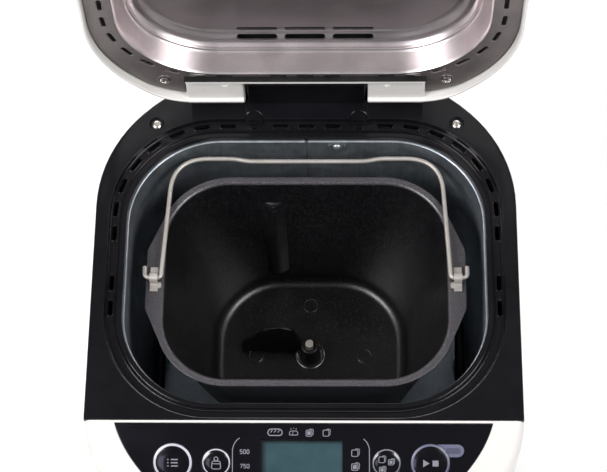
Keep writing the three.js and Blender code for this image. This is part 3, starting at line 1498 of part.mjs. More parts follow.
// The upright rib that turns the dough over, leaning back with the rear wall.
function panRib() {
  const radius = PAN_RIB_RADIUS;
  const length = PAN_RIB_HEIGHT;
  const bar = turned(
    [
      [0, 0],
      [radius * 0.7, radius * 0.3],
      [radius, radius],
      [radius, length - radius],
      [radius * 0.7, length - radius * 0.3],
      [0, length],
    ],
    16,
  );
  const lean = PAN_END_DRAFT / PAN_DEPTH;
  const foot = PAN_HALF_DEPTH - PAN_END_DRAFT + lean * PAN_RIB_BOTTOM;
  return shifted(
    sheared(bar, { yPerZ: lean }),
    PAN_RIB_X,
    foot + radius - PAN_RIB_RISE,
    PAN_FLOOR + PAN_RIB_BOTTOM,
  );
}
add("pan_body", panBody(), "nonstick");

add(
  "pan_base",
  turned([
    [SHAFT_RADIUS + RUNNING_GAP, SHAFT_HUB_BOTTOM],
    [SHAFT_HUB_RADIUS, SHAFT_HUB_BOTTOM],
    [SHAFT_HUB_RADIUS, PAN_BASE_TOP - PAN_BASE_WEB],
    [PAN_BASE_RADIUS - PAN_BASE_WALL, PAN_BASE_TOP - PAN_BASE_WEB],
    [PAN_BASE_RADIUS - PAN_BASE_WALL, PAN_BASE_BOTTOM],
    [PAN_BASE_RADIUS, PAN_BASE_BOTTOM],
    [PAN_BASE_RADIUS, PAN_BASE_TOP],
    [SHAFT_RADIUS + RUNNING_GAP, PAN_BASE_TOP],
  ]),
  "steel",
);

add(
  "shaft_collar",
  turned([
    [SHAFT_RADIUS + RUNNING_GAP, COLLAR_BOTTOM],
    [COLLAR_RADIUS, COLLAR_BOTTOM],
    [COLLAR_RADIUS, COLLAR_TOP - 0.8],
    [COLLAR_RADIUS - 0.8, COLLAR_TOP],
    [SHAFT_RADIUS + RUNNING_GAP, COLLAR_TOP],
  ]),
  "steel",
);

// The side of the shaft or bore beyond the driving flat.
function beyondFlat(clearance, bottom, top) {
  const x = SHAFT_FLAT + clearance;
  return block(x, x + 20, -20, 20, bottom, top);
}

function panShaft() {
  const chamfer = 0.5;
  const flatBottom = SHAFT_TOP - SHAFT_FLAT_LENGTH;
  const bar = turned(
    [
      [0, WING_BOTTOM],
      [SHAFT_RADIUS, WING_BOTTOM],
      [SHAFT_RADIUS, SHAFT_TOP - chamfer],
      [SHAFT_RADIUS - chamfer, SHAFT_TOP],
      [0, SHAFT_TOP],
    ],
    20,
  );
  return cut(bar, beyondFlat(0, flatBottom, SHAFT_TOP + 1));
}
add("pan_shaft", panShaft(), "steel");

function panCoupling() {
  const half = WING_LENGTH / 2;
  const wings = prism(
    outline(rectangle(half, -WING_WIDTH / 2, WING_WIDTH / 2, 2), 0, 2),
    WING_BOTTOM,
    WING_TOP,
  );
  return cut(
    join(wings, post(0, 0, SHAFT_HUB_RADIUS, WING_BOTTOM, WING_TOP)),
    post(0, 0, SHAFT_RADIUS + GAP, WING_BOTTOM - 1, WING_TOP + 1),
  );
}
add("pan_coupling", panCoupling(), "painted");

function kneadingPaddle() {
  const bottom = PADDLE_BOTTOM;
  const hubTop = bottom + PADDLE_HUB_HEIGHT;
  const hub = turned(
    [
      [0, bottom],
      [PADDLE_HUB_RADIUS, bottom],
      [PADDLE_HUB_TOP_RADIUS, hubTop - 1],
      [PADDLE_HUB_TOP_RADIUS - 0.8, hubTop],
      [0, hubTop],
    ],
    24,
  );
  const side = new THREE.Shape();
  side.moveTo(0, 0);
  side.lineTo(-PADDLE_LENGTH, 0);
  side.lineTo(-PADDLE_LENGTH, PADDLE_THICKNESS);
  side.lineTo(-PADDLE_OUTER_X, PADDLE_SHOULDER);
  side.quadraticCurveTo(
    -PADDLE_CROWN_X,
    2 * PADDLE_HEIGHT - PADDLE_SHOULDER,
    -PADDLE_INNER_X,
    PADDLE_SHOULDER,
  );
  side.lineTo(-PADDLE_HUB_TOP_RADIUS, PADDLE_HUB_HEIGHT / 2);
  side.lineTo(0, PADDLE_HUB_HEIGHT / 2);
  const upright = new THREE.ExtrudeGeometry(side, {
    depth: PADDLE_THICKNESS,
    bevelEnabled: false,
    curveSegments: 6,
  });
  upright.rotateX(Math.PI / 2);
  const blade = shifted(
    sheared(toSolid(upright), { yPerZ: PADDLE_LEAN }),
    0,
    PADDLE_OFFSET + PADDLE_THICKNESS,
    bottom,
  );
  const bore = cut(
    post(0, 0, SHAFT_RADIUS + GAP, bottom - 1, hubTop + 10),
    beyondFlat(GAP, SHAFT_TOP - SHAFT_FLAT_LENGTH + GAP, hubTop + 11),
  );
  return cut(join(hub, blade), bore);
}
add("kneading_paddle", kneadingPaddle(), "black");

// The wire bail lies back on the pan's rim. Each end hooks under its bracket.
function handle() {
  const at = (x, y) => new THREE.Vector3(x, y, HANDLE_PIVOT_Z);
  const pivot = HANDLE_PIVOT_Y;
  const grip = OVEN_HALF_DEPTH - HANDLE_END_SPACE;
  const hookX = PAN_HALF_WIDTH + HANDLE_HOOK_REACH;
  const armX = PAN_HALF_WIDTH + HANDLE_ARM_REACH;
  const half = [
    at(hookX, pivot + HANDLE_HOOK_TAIL),
    at(hookX, pivot),
    at(armX, pivot),
    at(armX - HANDLE_TAPER, grip),
    at(HANDLE_DIP_HALF + HANDLE_DIP_RUN / 2, grip),
    at(HANDLE_DIP_HALF - HANDLE_DIP_RUN / 2, grip - HANDLE_DIP),
  ];
  const other = [...half].reverse().map((p) => at(-p.x, p.y));
  const soft = HANDLE_DIP_CORNER;
  const bends = [0, HANDLE_HOOK_CORNER, HANDLE_ARM_BEND, HANDLE_CORNER, soft, soft];
  const reaches = [...bends, ...[...bends].reverse()];
  return wire(bentPath([...half, ...other], reaches), HANDLE_RADIUS);
}
add("handle", handle(), "steel");

// A strap over the bail, with a foot on the rim on each side of it.
[-1, 1].forEach((side) => {
  const clear = HANDLE_RADIUS + RUNNING_GAP;
  const foot = PAN_RIM + GAP;
  const x = side * BRACKET_X;
  const half = BRACKET_WIDTH / 2;
  const y = HANDLE_PIVOT_Y;
  const strap = join(
    block(x - half, x + half, y - BRACKET_FRONT, y + BRACKET_REAR, foot, foot + BRACKET_SHEET),
    crossBar(x - half, x + half, y, HANDLE_PIVOT_Z, clear + BRACKET_SHEET, 20),
    block(
      x - half,
      x + half,
      y - clear - BRACKET_SHEET,
      y + clear + BRACKET_SHEET,
      foot,
      HANDLE_PIVOT_Z,
    ),
  );
  const tunnel = crossBar(x - half - 1, x + half + 1, y, HANDLE_PIVOT_Z, clear, 16);
  add(
    side < 0 ? "handle_bracket_left" : "handle_bracket_right",
    cut(strap, tunnel),
    "steel",
  );
});

// ---------------------------------------------------------------- drive

function driveCoupling() {
  const dogs = [-1, 1].map((side) =>
    block(
      -DOG_WIDTH / 2,
      DOG_WIDTH / 2,
      side > 0 ? DOG_RADIUS_IN : -DOG_RADIUS_OUT,
      side > 0 ? DOG_RADIUS_OUT : -DOG_RADIUS_IN,
      COUPLING_TOP - 1,
      COUPLING_TOP + DOG_HEIGHT,
    ),
  );
  const hub = turned([
    [SPINDLE_RADIUS + GAP, COUPLING_HUB_BOTTOM],
    [COUPLING_HUB_RADIUS, COUPLING_HUB_BOTTOM],
    [COUPLING_HUB_RADIUS, COUPLING_BOTTOM],
    [COUPLING_RADIUS, COUPLING_BOTTOM],
    [COUPLING_RADIUS, COUPLING_TOP],
    [0, COUPLING_TOP],
    [0, COUPLING_BOTTOM + GAP],
    [SPINDLE_RADIUS + GAP, COUPLING_BOTTOM + GAP],
  ]);
  return join(hub, ...dogs);
}
add("drive_coupling", driveCoupling(), "steel");
add("spindle", post(0, 0, SPINDLE_RADIUS, SPINDLE_BOTTOM, SPINDLE_TOP), "steel");

add(
  "spindle_bearing",
  turned([
    [SPINDLE_RADIUS + RUNNING_GAP, BEARING_BOTTOM],
    [BEARING_RADIUS, BEARING_BOTTOM],
    [BEARING_RADIUS, CHASSIS_TOP + GAP],
    [BEARING_FLANGE, CHASSIS_TOP + GAP],
    [BEARING_FLANGE, CHASSIS_TOP + GAP + 2],
    [BEARING_RADIUS, CHASSIS_TOP + GAP + 2],
    [BEARING_RADIUS, BEARING_TOP],
    [SPINDLE_RADIUS + RUNNING_GAP, BEARING_TOP],
  ]),
  "plastic",
);

// A grooved pulley for the flat belt.
function pulley(radius, bore) {
  const groove = radius;
  const edge = radius + PULLEY_FLANGE;
  const low = PULLEY_BOTTOM + PULLEY_CHEEK;
  const high = PULLEY_TOP - PULLEY_CHEEK;
  return turned(
    [
      [bore, PULLEY_BOTTOM],
      [edge, PULLEY_BOTTOM],
      [edge, low],
      [groove, low],
      [groove, high],
      [edge, high],
      [edge, PULLEY_TOP],
      [bore, PULLEY_TOP],
    ],
    20,
  );
}
add("spindle_pulley", pulley(PULLEY_RADIUS, SPINDLE_RADIUS + GAP), "black");

function motorPulley() {
  const shaftTop = CHASSIS_TOP + MOTOR_SOCKET - 4;
  const whole = join(
    pulley(MOTOR_PULLEY_RADIUS, MOTOR_SHAFT_RADIUS - 0.5),
    post(0, 0, MOTOR_SHAFT_RADIUS, PULLEY_BOTTOM, shaftTop, 16),
  );
  return shifted(whole, MOTOR_X, MOTOR_Y, 0);
}
add("motor_pulley", motorPulley(), "steel");

function driveBelt() {
  const distance = Math.hypot(MOTOR_X, MOTOR_Y);
  const heading = Math.atan2(MOTOR_Y, MOTOR_X);
  const lean = Math.acos((PULLEY_RADIUS - MOTOR_PULLEY_RADIUS) / distance);
  const loop = (extra) => {
    const points = [];
    const bigSteps = 16;
    const smallSteps = 6;
    for (let k = 0; k <= bigSteps; k += 1) {
      const a = heading + lean + ((CIRCLE - 2 * lean) * k) / bigSteps;
      const r = PULLEY_RADIUS + extra;
      points.push(new THREE.Vector2(r * Math.cos(a), r * Math.sin(a)));
    }
    for (let k = 0; k <= smallSteps; k += 1) {
      const a = heading - lean + (2 * lean * k) / smallSteps;
      const r = MOTOR_PULLEY_RADIUS + extra;
      points.push(new THREE.Vector2(MOTOR_X + r * Math.cos(a), MOTOR_Y + r * Math.sin(a)));
    }
    return points;
  };
  const top = BELT_BOTTOM + BELT_WIDTH;
  return cut(
    prism(loop(2 * GAP + BELT_THICKNESS), BELT_BOTTOM, top),
    prism(loop(2 * GAP), BELT_BOTTOM - 1, top + 1),
  );
}
add("drive_belt", driveBelt(), "rubber");

function motor() {
  const bottom = CHASSIS_TOP + GAP;
  const top = bottom + MOTOR_HEIGHT;
  const waist = MOTOR_RADIUS - MOTOR_WAIST;
  const taper = 2;
  return shifted(
    turned(
      [
        [MOTOR_SHAFT_RADIUS + RUNNING_GAP, bottom],
        [MOTOR_RADIUS, bottom],
        [MOTOR_RADIUS, bottom + MOTOR_RING],
        [waist, bottom + MOTOR_RING + taper],
        [waist, top - MOTOR_RING - taper],
        [MOTOR_RADIUS, top - MOTOR_RING],
        [MOTOR_RADIUS, top - MOTOR_CROWN],
        [MOTOR_RADIUS - 1.5 * MOTOR_CROWN, top],
        [0, top],
        [0, bottom + MOTOR_SOCKET],
        [MOTOR_SHAFT_RADIUS + RUNNING_GAP, bottom + MOTOR_SOCKET],
      ],
      20,
    ),
    MOTOR_X,
    MOTOR_Y,
    0,
  );
}
add("motor", motor(), "painted");

function chassis() {
  const plate = prism(
    outline(
      rectangle(CHASSIS_HALF_WIDTH, CHASSIS_FRONT, CHASSIS_REAR, CHASSIS_CORNER),
      0,
      5,
    ),
    CHASSIS_HEIGHT,
    CHASSIS_TOP,
  );
  const half = LEG_SIZE / 2;
  const rearLegX = CHASSIS_HALF_WIDTH - REAR_LEG.fromSide;
  const rearLegY = CHASSIS_REAR - REAR_LEG.fromRear;
  const legPlaces = [
    [FRONT_LEFT_LEG.fromSide - CHASSIS_HALF_WIDTH, CHASSIS_FRONT + FRONT_LEFT_LEG.fromFront],
    [MOTOR_X - FRONT_MIDDLE_LEG.fromMotor, CHASSIS_FRONT + FRONT_MIDDLE_LEG.fromFront],
    [CHASSIS_HALF_WIDTH - FRONT_RIGHT_LEG.fromSide, CHASSIS_FRONT + FRONT_RIGHT_LEG.fromFront],
    [-rearLegX, rearLegY],
    [rearLegX, rearLegY],
  ];
  const legs = legPlaces.map(([x, y]) =>
    block(x - half, x + half, y - half, y + half, BASE_TOP + GAP, CHASSIS_HEIGHT + 1),
  );
  const postX = OVEN_HALF_WIDTH - OVEN_POST_SIDE;
  const postY = OVEN_HALF_DEPTH - OVEN_POST_END;
  const ovenPosts = [-postX, postX].flatMap((x) =>
    [-postY, postY].map((y) =>
      block(x - half, x + half, y - half, y + half, CHASSIS_TOP - 1, OVEN_UNDERSIDE - GAP),
    ),
  );
  const { width, depth, level } = POWER_BOARD;
  const legX = width / 2 - BOARD_LEG.fromSide;
  const legY = depth / 2 - BOARD_LEG.fromEnd;
  const boardPosts = [POWER_BOARD_X - legX, POWER_BOARD_X + legX].flatMap((px) =>
    [POWER_BOARD_Y - legY, POWER_BOARD_Y + legY].map((py) =>
      post(px, py, BOARD_LEG.radius, CHASSIS_TOP - 1, level - GAP, 10),
    ),
  );
  return cut(
    join(plate, ...legs, ...ovenPosts, ...boardPosts),
    post(0, 0, BEARING_RADIUS + GAP, CHASSIS_HEIGHT - 1, CHASSIS_TOP + 1),
    post(MOTOR_X, MOTOR_Y, MOTOR_SHAFT_RADIUS + 2, CHASSIS_HEIGHT - 1, CHASSIS_TOP + 1),
  );
}
add("chassis", chassis(), "galvanised");

function powerBoard() {
  const { width, depth, level } = POWER_BOARD;
  const x = POWER_BOARD_X;
  const y = POWER_BOARD_Y;
  const sheetTop = level + BOARD_THICKNESS;
  const parts = POWER_PARTS.map((part) =>
    block(
      x + (part.x - part.width / 2) * width,
      x + (part.x + part.width / 2) * width,
      y + (part.y - part.depth / 2) * depth,
      y + (part.y + part.depth / 2) * depth,
      sheetTop - BOARD_THICKNESS / 2,
      sheetTop + part.height * width,
    ),
  );
  return join(
    block(x - width / 2, x + width / 2, y - depth / 2, y + depth / 2, level, sheetTop),
    ...parts,
  );
}
add("power_board", powerBoard(), "board");

// A rubber gland in the rear wall for the supply cord.
function cordGland() {
  const outside = GAP;
  const inside = -BODY_WALL - GAP;
  return turned(
    [
      [GLAND_BORE, inside - 3],
      [GLAND_FLANGE - 1.5, inside - 3],
      [GLAND_FLANGE - 1.5, inside],
      [GLAND_RADIUS, inside],
      [GLAND_RADIUS, outside],
      [GLAND_FLANGE, outside],
      [GLAND_FLANGE, outside + 2],
      [GLAND_FLANGE - 1, outside + 3],
      [GLAND_BORE, outside + 3],
    ],
    16,
  )
    .rotate([-90, 0, 0])
    .translate([GLAND_X, DECK_REAR, GLAND_HEIGHT]);
}
add("cord_gland", cordGland(), "rubber");

// ---------------------------------------------------------------- final placing

machine.updateMatrixWorld(true);
const extent = new THREE.Box3().setFromObject(machine, true);
machine.position.y = -(extent.min.y + extent.max.y) / 2;

export default machine;
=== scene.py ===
"""Looks for the bread machine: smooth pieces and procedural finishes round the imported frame."""
import math

import bmesh
import bpy
from mathutils import Matrix, Vector


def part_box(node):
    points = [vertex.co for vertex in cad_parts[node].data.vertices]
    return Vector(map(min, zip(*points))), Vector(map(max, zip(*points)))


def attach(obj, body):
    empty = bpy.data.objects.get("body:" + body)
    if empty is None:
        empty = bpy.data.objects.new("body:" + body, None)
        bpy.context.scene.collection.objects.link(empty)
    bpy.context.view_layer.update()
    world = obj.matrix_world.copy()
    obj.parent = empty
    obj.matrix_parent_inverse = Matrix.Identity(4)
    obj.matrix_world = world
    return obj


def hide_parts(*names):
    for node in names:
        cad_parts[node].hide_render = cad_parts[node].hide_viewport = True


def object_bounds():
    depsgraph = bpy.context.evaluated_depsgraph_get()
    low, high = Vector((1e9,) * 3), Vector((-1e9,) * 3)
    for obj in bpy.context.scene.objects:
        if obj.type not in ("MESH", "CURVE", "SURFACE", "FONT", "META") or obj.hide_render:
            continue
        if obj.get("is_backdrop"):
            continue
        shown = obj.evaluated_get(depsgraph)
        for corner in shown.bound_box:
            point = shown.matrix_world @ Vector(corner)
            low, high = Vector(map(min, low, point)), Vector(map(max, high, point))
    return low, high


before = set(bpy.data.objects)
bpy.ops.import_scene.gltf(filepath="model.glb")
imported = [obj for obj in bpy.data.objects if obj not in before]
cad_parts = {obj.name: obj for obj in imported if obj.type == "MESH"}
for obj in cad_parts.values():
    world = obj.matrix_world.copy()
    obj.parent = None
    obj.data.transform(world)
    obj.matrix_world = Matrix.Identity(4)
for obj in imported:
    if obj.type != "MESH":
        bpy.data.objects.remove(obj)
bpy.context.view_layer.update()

# ---------------------------------------------------------------- places, in millimetres
# Pieces are made in millimetres round the drive axis, then placed by one of three matrices.

MILLIMETRE = 0.001
spindle_low, spindle_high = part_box("spindle")
AXIS_Y = (spindle_low.y + spindle_high.y) / 2


def cad(node):
    """Lowest and highest corner of a CAD node, in millimetres round the drive axis."""
    low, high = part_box(node)
    axis = Vector((0, AXIS_Y, 0))
    return (low - axis) / MILLIMETRE, (high - axis) / MILLIMETRE


def centre(node):
    return [(a + b) / 2 for a, b in zip(*cad(node))]


def at(x, y, z=0):
    return Matrix.Translation((x, y, z))


GAP = 0.3  # between pieces that touch
body_low, body_high = cad("body_shell")
BODY_HALF = body_high.x
FRONT_Y = body_low.y
SHELL_BOTTOM = body_low.z
BODY_WALL = 2.5
PLINTH_HEIGHT = 16
PLINTH_INSET = 8
FRONT_CORNER_RADIUS = 50
PANEL_SLOPE = math.radians(31)

# Deck
deck_low, deck_high = cad("deck")
DECK_SKIRT = 14
DECK_BOTTOM = deck_low.z
DECK_TOP = DECK_BOTTOM + DECK_SKIRT
DECK_FRONT = -deck_low.y
DECK_REAR = deck_high.y
DECK_THICKNESS = 3
DECK_SCREW_X = BODY_HALF - 38.2
DECK_SCREW_Y = DECK_REAR - 42
DECK_POCKET = 2
SCREW_HOLE = 1.9
REAR_CHAMFER = 62.7
SHOULDER_Y = DECK_REAR - REAR_CHAMFER
REAR_BREAK_X = BODY_HALF - REAR_CHAMFER
CHAMFER_ARC_REACH = REAR_CHAMFER * math.sqrt(2) / math.tan(math.pi / 8)
SHOULDER_RADIUS = CHAMFER_ARC_REACH * 0.45
REAR_BREAK_RADIUS = CHAMFER_ARC_REACH * 0.55 * 0.98

# Oven
oven_low, oven_high = cad("oven_chamber")
OVEN_FLANGE = 6
OVEN_HALF_WIDTH = oven_high.x - OVEN_FLANGE
OVEN_HALF_DEPTH = oven_high.y - OVEN_FLANGE
OVEN_TOP = oven_high.z
OVEN_SHEET = 1.2
OVEN_FLOOR = oven_low.z + OVEN_SHEET
OVEN_RADIUS = 62
OVEN_DRAFT = 2
OVEN_FLOOR_RADIUS = 12

# Groove round the oven, with its vents
GROOVE_SIDE = BODY_HALF - 9.4
GROOVE_FRONT = -DECK_FRONT + 1.6
GROOVE_REAR = OVEN_HALF_DEPTH + 12.8
GROOVE_RADIUS = 71
GROOVE_FLOOR = DECK_TOP - 4
DECK_LIP = 0.1
RIB_TOP = GROOVE_FLOOR + 1.8
VENT_INSET = 3.5
VENT_LENGTH = 10.5
VENT_WIDTH = 2.8
VENT_PITCH = 17.8
VENT_STEPS = (0, 1, 3, 4, 5, 6, 7, 8, 9, 10, 12, 13)
SPIGOT_STEP = 2

# Hinge
_, HINGE_Y, HINGE_Z = centre("hinge_pin_right")
HINGE_HEIGHT = HINGE_Z - DECK_TOP
LID_OPEN_ANGLE = math.radians(94.5)
HINGE_BLOCK_HALF = BODY_HALF - 100.4
HINGE_BLOCK_RADIUS = 9
KNUCKLE_INNER = HINGE_BLOCK_HALF + 1.9
KNUCKLE_OUTER = KNUCKLE_INNER + 37.8
KNUCKLE_RADIUS = 16.8
PIN_BORE = 3.3
DIMPLE_X = 53.8  # in the knuckles' undersides

# Lid, closed
LID_REAR = HINGE_Y + 1.4
LID_REAR_CHAMFER = 46.7
LID_HEIGHT = 56
LID_WALL = 2.6
LID_NOTCH_Y = OVEN_HALF_DEPTH + 12.8
LID_BRIDGE = 2.2  # wall in front of the gap for the hinge block
GRIP_HALF = 38
GRIP_REACH = 7
GRIP_BOTTOM = 2.4
GRIP_TOP = 11.4
LID_FRONT_RADIUS = 14
FLANGE_BOTTOM = 5
FLANGE_TOP = 6
DISH_MOUTH = FLANGE_BOTTOM - 0.4
DISH_REAR = OVEN_HALF_DEPTH + 7
DISH_FRONT = OVEN_HALF_DEPTH + 1.2
DISH_RADIUS = 63
DISH_VENTS = ((12.7, 4.2), (18.8, 2.8))
DISH_VENT_LENGTH = 27
DISH_VENT_PITCH = 31.6

# Pan
pan_low, pan_high = cad("pan_body")
PAN_EAR = pan_high.x
PAN_HALF_WIDTH = PAN_EAR - 12.6
PAN_FLANGE = 5.4
PAN_HALF_DEPTH = pan_high.y - PAN_FLANGE
PAN_RIM = pan_high.z
PAN_SHEET = 1.6
PAN_FLOOR = pan_low.z + PAN_SHEET
PAN_DEPTH = PAN_RIM - PAN_FLOOR
PAN_RADIUS = 42.5
PAN_FILLET = 6.5
BOSS_ORBIT = 40.5
PAN_SIDE_DRAFT = 25
PAN_END_DRAFT = 9.5
PAN_FLOOR_RADIUS = (PAN_HALF_DEPTH - PAN_END_DRAFT) * 0.84

# Bail
handle_high = cad("handle")[1]
WIRE = 1.5
HANDLE_Z = centre("handle")[2]
HANDLE_PIVOT_Y = -0.9
HOOK_X = handle_high.x - WIRE
GRIP_Y = handle_high.y - WIRE

# Kneader shaft
shaft_low, shaft_high = cad("pan_shaft")
SHAFT_RADIUS = shaft_high.y
SHAFT_TOP = shaft_high.z
SHAFT_FLAT = 2.4
SHAFT_BORE = 3.5
PADDLE_BOTTOM = cad("kneading_paddle")[0].z

# Panel, from the deck's front edge
window_low, window_high = cad("display_window")
DISPLAY_X = (window_low.x + window_high.x) / 2
DISPLAY_HALF = (window_high.x - window_low.x) / 2
DISPLAY_TOP = 13.2
DISPLAY_HEIGHT = 23
UPPER_ROW = 27.8
LOWER_ROW = 44.6
BUTTON_ROWS = {
    "menu_button": UPPER_ROW,
    "weight_button": UPPER_ROW,
    "crust_button": UPPER_ROW,
    "start_button": UPPER_ROW,
    "timer_down_button": LOWER_ROW,
    "timer_up_button": LOWER_ROW,
}
CELLS_LEFT = -26.6
CELLS_RIGHT = 25.3
CELLS_REAR = -13.4
BUTTON_RISE = 0.8
BUTTON_FLANGE = 1
FASCIA_THICKNESS = 2

MACHINE = at(0, AXIS_Y) @ Matrix.Scale(MILLIMETRE, 4)
PANEL_IN_MACHINE = at(0, -DECK_FRONT, DECK_TOP) @ Matrix.Rotation(PANEL_SLOPE, 4, "X")
PANEL = MACHINE @ PANEL_IN_MACHINE
LID = (
    MACHINE
    @ at(0, HINGE_Y, HINGE_Z)
    @ Matrix.Rotation(-LID_OPEN_ANGLE, 4, "X")
    @ at(0, -HINGE_Y, -HINGE_HEIGHT)
)

# ---------------------------------------------------------------- shapes

QUARTER = 20  # steps round a quarter turn
CIRCLE = 2 * math.pi


def outline(corners, inset=0.0, steps=QUARTER):
    """The points of a polygon with rounded corners (x, y, radius), anticlockwise, moved inwards."""
    points = []
    count = len(corners)
    for i, (x, y, radius) in enumerate(corners):
        before = Vector(corners[i - 1][:2])
        after = Vector(corners[(i + 1) % count][:2])
        here = Vector((x, y))
        into = (here - before).normalized()
        out = (after - here).normalized()
        turn = math.atan2(into.x * out.y - into.y * out.x, into.dot(out))
        number = max(1, round(steps * abs(turn) / (math.pi / 2)))
        side = 1 if turn >= 0 else -1
        inward_in = Vector((-into.y, into.x))
        inward_out = Vector((-out.y, out.x))
        reach = (inward_in + inward_out) / (1 + inward_in.dot(inward_out))
        rounded = max(radius - side * inset, 0.2)
        middle = here + reach * (inset + side * rounded)
        start = math.atan2(-side * inward_in.y, -side * inward_in.x)
        for k in range(number + 1):
            angle = start + turn * k / number
            points.append(
                (middle.x + rounded * math.cos(angle), middle.y + rounded * math.sin(angle))
            )
    return points


def rectangle(half, front, rear, radius, middle=0.0):
    return [
        (middle - half, front, radius), (middle + half, front, radius),
        (middle + half, rear, radius), (middle - half, rear, radius),
    ]


def curve(start, pull, end, steps):
    """Points of a quadratic curve, with both ends."""
    shares = [k / steps for k in range(steps + 1)]
    return [start * (1 - t) ** 2 + pull * 2 * t * (1 - t) + end * t * t for t in shares]


def quarter(steps):
    """Angles through a quarter turn."""
    return [math.pi / 2 * k / steps for k in range(steps + 1)]


def soften(profile, steps=4):
    """An open line of (height, inset) or (height, inset, reach), rounded where a reach is given."""
    line = []
    for i, point in enumerate(profile):
        here = Vector(point[:2])
        if len(point) < 3 or i in (0, len(profile) - 1):
            line.append(tuple(here))
            continue
        back = Vector(profile[i - 1][:2]) - here
        ahead = Vector(profile[i + 1][:2]) - here
        entry = here + back.normalized() * min(point[2], back.length / 2)
        leave = here + ahead.normalized() * min(point[2], ahead.length / 2)
        line += [tuple(p) for p in curve(entry, here, leave, steps)]
    return line


def levels(corners, profile, steps=QUARTER):
    """Rings of one outline at each (height, inset) of a line."""
    return [[(x, y, z) for x, y in outline(corners, inset, steps)] for z, inset in profile]


def loft(rings, loop=False, caps=True):
    """Points and faces through rings that have the same count, as a closed body."""
    count = len(rings[0])
    points = [p for ring in rings for p in ring]
    faces = []
    for level in range(len(rings) - (0 if loop else 1)):
        low = level * count
        high = (level + 1) % len(rings) * count
        for i in range(count):
            j = (i + 1) % count
            faces.append((low + i, low + j, high + j, high + i))
    if caps and not loop:
        faces.append(tuple(reversed(range(count))))
        faces.append(tuple(range(len(points) - count, len(points))))
    return points, faces


def lofted(corners, profile, steps=QUARTER):
    return loft(levels(corners, profile, steps))


def prism(points, bottom, top):
    return loft([[(x, y, z) for x, y in points] for z in (bottom, top)])


def rounded_block(corners, bottom, top, edge, steps=6):
    """A prism of a rounded outline whose top and bottom edges are rounded too."""
    profile = soften([(bottom, edge), (bottom, 0, edge), (top, 0, edge), (top, edge)], 3)
    return lofted(corners, profile, steps)


def turned(profile, sides=64):
    """A body turned round Z from (radius, height) points. The profile closes on itself."""
    angles = [CIRCLE * k / sides for k in range(sides)]
    rings = [
        [(r * math.cos(a), r * math.sin(a), z) for a in angles] for r, z in profile if r > 0
    ]
    return loft(rings, loop=len(rings) == len(profile))


def post(x, y, radius, bottom, top, sides=32):
    points, faces = turned([(0, bottom), (radius, bottom), (radius, top), (0, top)], sides)
    return [(px + x, py + y, pz) for px, py, pz in points], faces


def block(x0, x1, y0, y1, z0, z1):
    return prism([(x0, y0), (x1, y0), (x1, y1), (x0, y1)], z0, z1)


def moved(form, matrix):
    points, faces = form
    return [tuple(matrix @ Vector(p)) for p in points], faces


def merged(*forms):
    points, faces = [], []
    for more_points, more_faces in forms:
        start = len(points)
        points.extend(more_points)
        faces.extend(tuple(i + start for i in face) for face in more_faces)
    return points, faces


def mirrored(form):
    points, faces = form
    return [(-x, y, z) for x, y, z in points], [tuple(reversed(face)) for face in faces]


YZ_TO_XY = Matrix(((0, 0, 1, 0), (1, 0, 0, 0), (0, 1, 0, 0), (0, 0, 0, 1)))


def cross_bar(x0, x1, y, z, radius, sides=48):
    form = turned([(0, x0), (radius, x0), (radius, x1), (0, x1)], sides)
    return moved(form, at(0, y, z) @ YZ_TO_XY)


def bent(points, reaches, steps=10):
    """Straight runs through points with a round bend at each inner one."""
    path = [Vector(points[0])]
    for i in range(1, len(points) - 1):
        here = Vector(points[i])
        entry = here + (Vector(points[i - 1]) - here).normalized() * reaches[i]
        leave = here + (Vector(points[i + 1]) - here).normalized() * reaches[i]
        path += curve(entry, here, leave, steps)
    path.append(Vector(points[-1]))
    return path


def tube(path, radius, sides=20):
    """A round bar along a level path, its ends rounded within the path's length."""
    first = (path[1] - path[0]).normalized()
    last = (path[-1] - path[-2]).normalized()
    ends = ((0.6, 0.0), (0.9, 0.12), (1.0, 0.35))
    stations = [(path[0] + first * radius * back, first, scale) for scale, back in ends]
    for i in range(1, len(path) - 1):
        stations.append((path[i], (path[i + 1] - path[i - 1]).normalized(), 1.0))
    stations += [
        (path[-1] - last * radius * back, last, scale) for scale, back in reversed(ends)
    ]
    angles = [CIRCLE * k / sides for k in range(sides)]
    rings = []
    for middle, tangent, scale in stations:
        side = tangent.cross(Vector((0, 0, 1))).normalized() * radius * scale
        other = Vector((0, 0, radius * scale))
        rings.append([tuple(middle + side * math.cos(a) + other * math.sin(a)) for a in angles])
    return loft(rings)


def solid(form):
    """A temporary object from points and faces, with its faces turned outwards."""
    mesh = bpy.data.meshes.new("form")
    mesh.from_pydata([tuple(p) for p in form[0]], [], form[1])
    work = bmesh.new()
    work.from_mesh(mesh)
    bmesh.ops.remove_doubles(work, verts=work.verts, dist=1e-4)
    bmesh.ops.recalc_face_normals(work, faces=work.faces)
    work.to_mesh(mesh)
    work.free()
    piece = bpy.data.objects.new("form", mesh)
    bpy.context.scene.collection.objects.link(piece)
    return piece


def bake(piece):
    """Applies the piece's modifiers to its mesh."""
    bpy.context.view_layer.update()
    graph = bpy.context.evaluated_depsgraph_get()
    mesh = bpy.data.meshes.new_from_object(piece.evaluated_get(graph))
    piece.modifiers.clear()
    old = piece.data
    piece.data = mesh
    bpy.data.meshes.remove(old)
    return piece


def boolean(piece, operation, *forms):
    for form in forms:
        tool = solid(form)
        modifier = piece.modifiers.new("boolean", "BOOLEAN")
        modifier.operation = operation
        modifier.solver = "MANIFOLD"
        modifier.object = tool
        bake(piece)
        bpy.data.objects.remove(tool)
    return piece


def cut(piece, *forms):
    return boolean(piece, "DIFFERENCE", *forms)


def join(piece, *forms):
    return boolean(piece, "UNION", *forms)


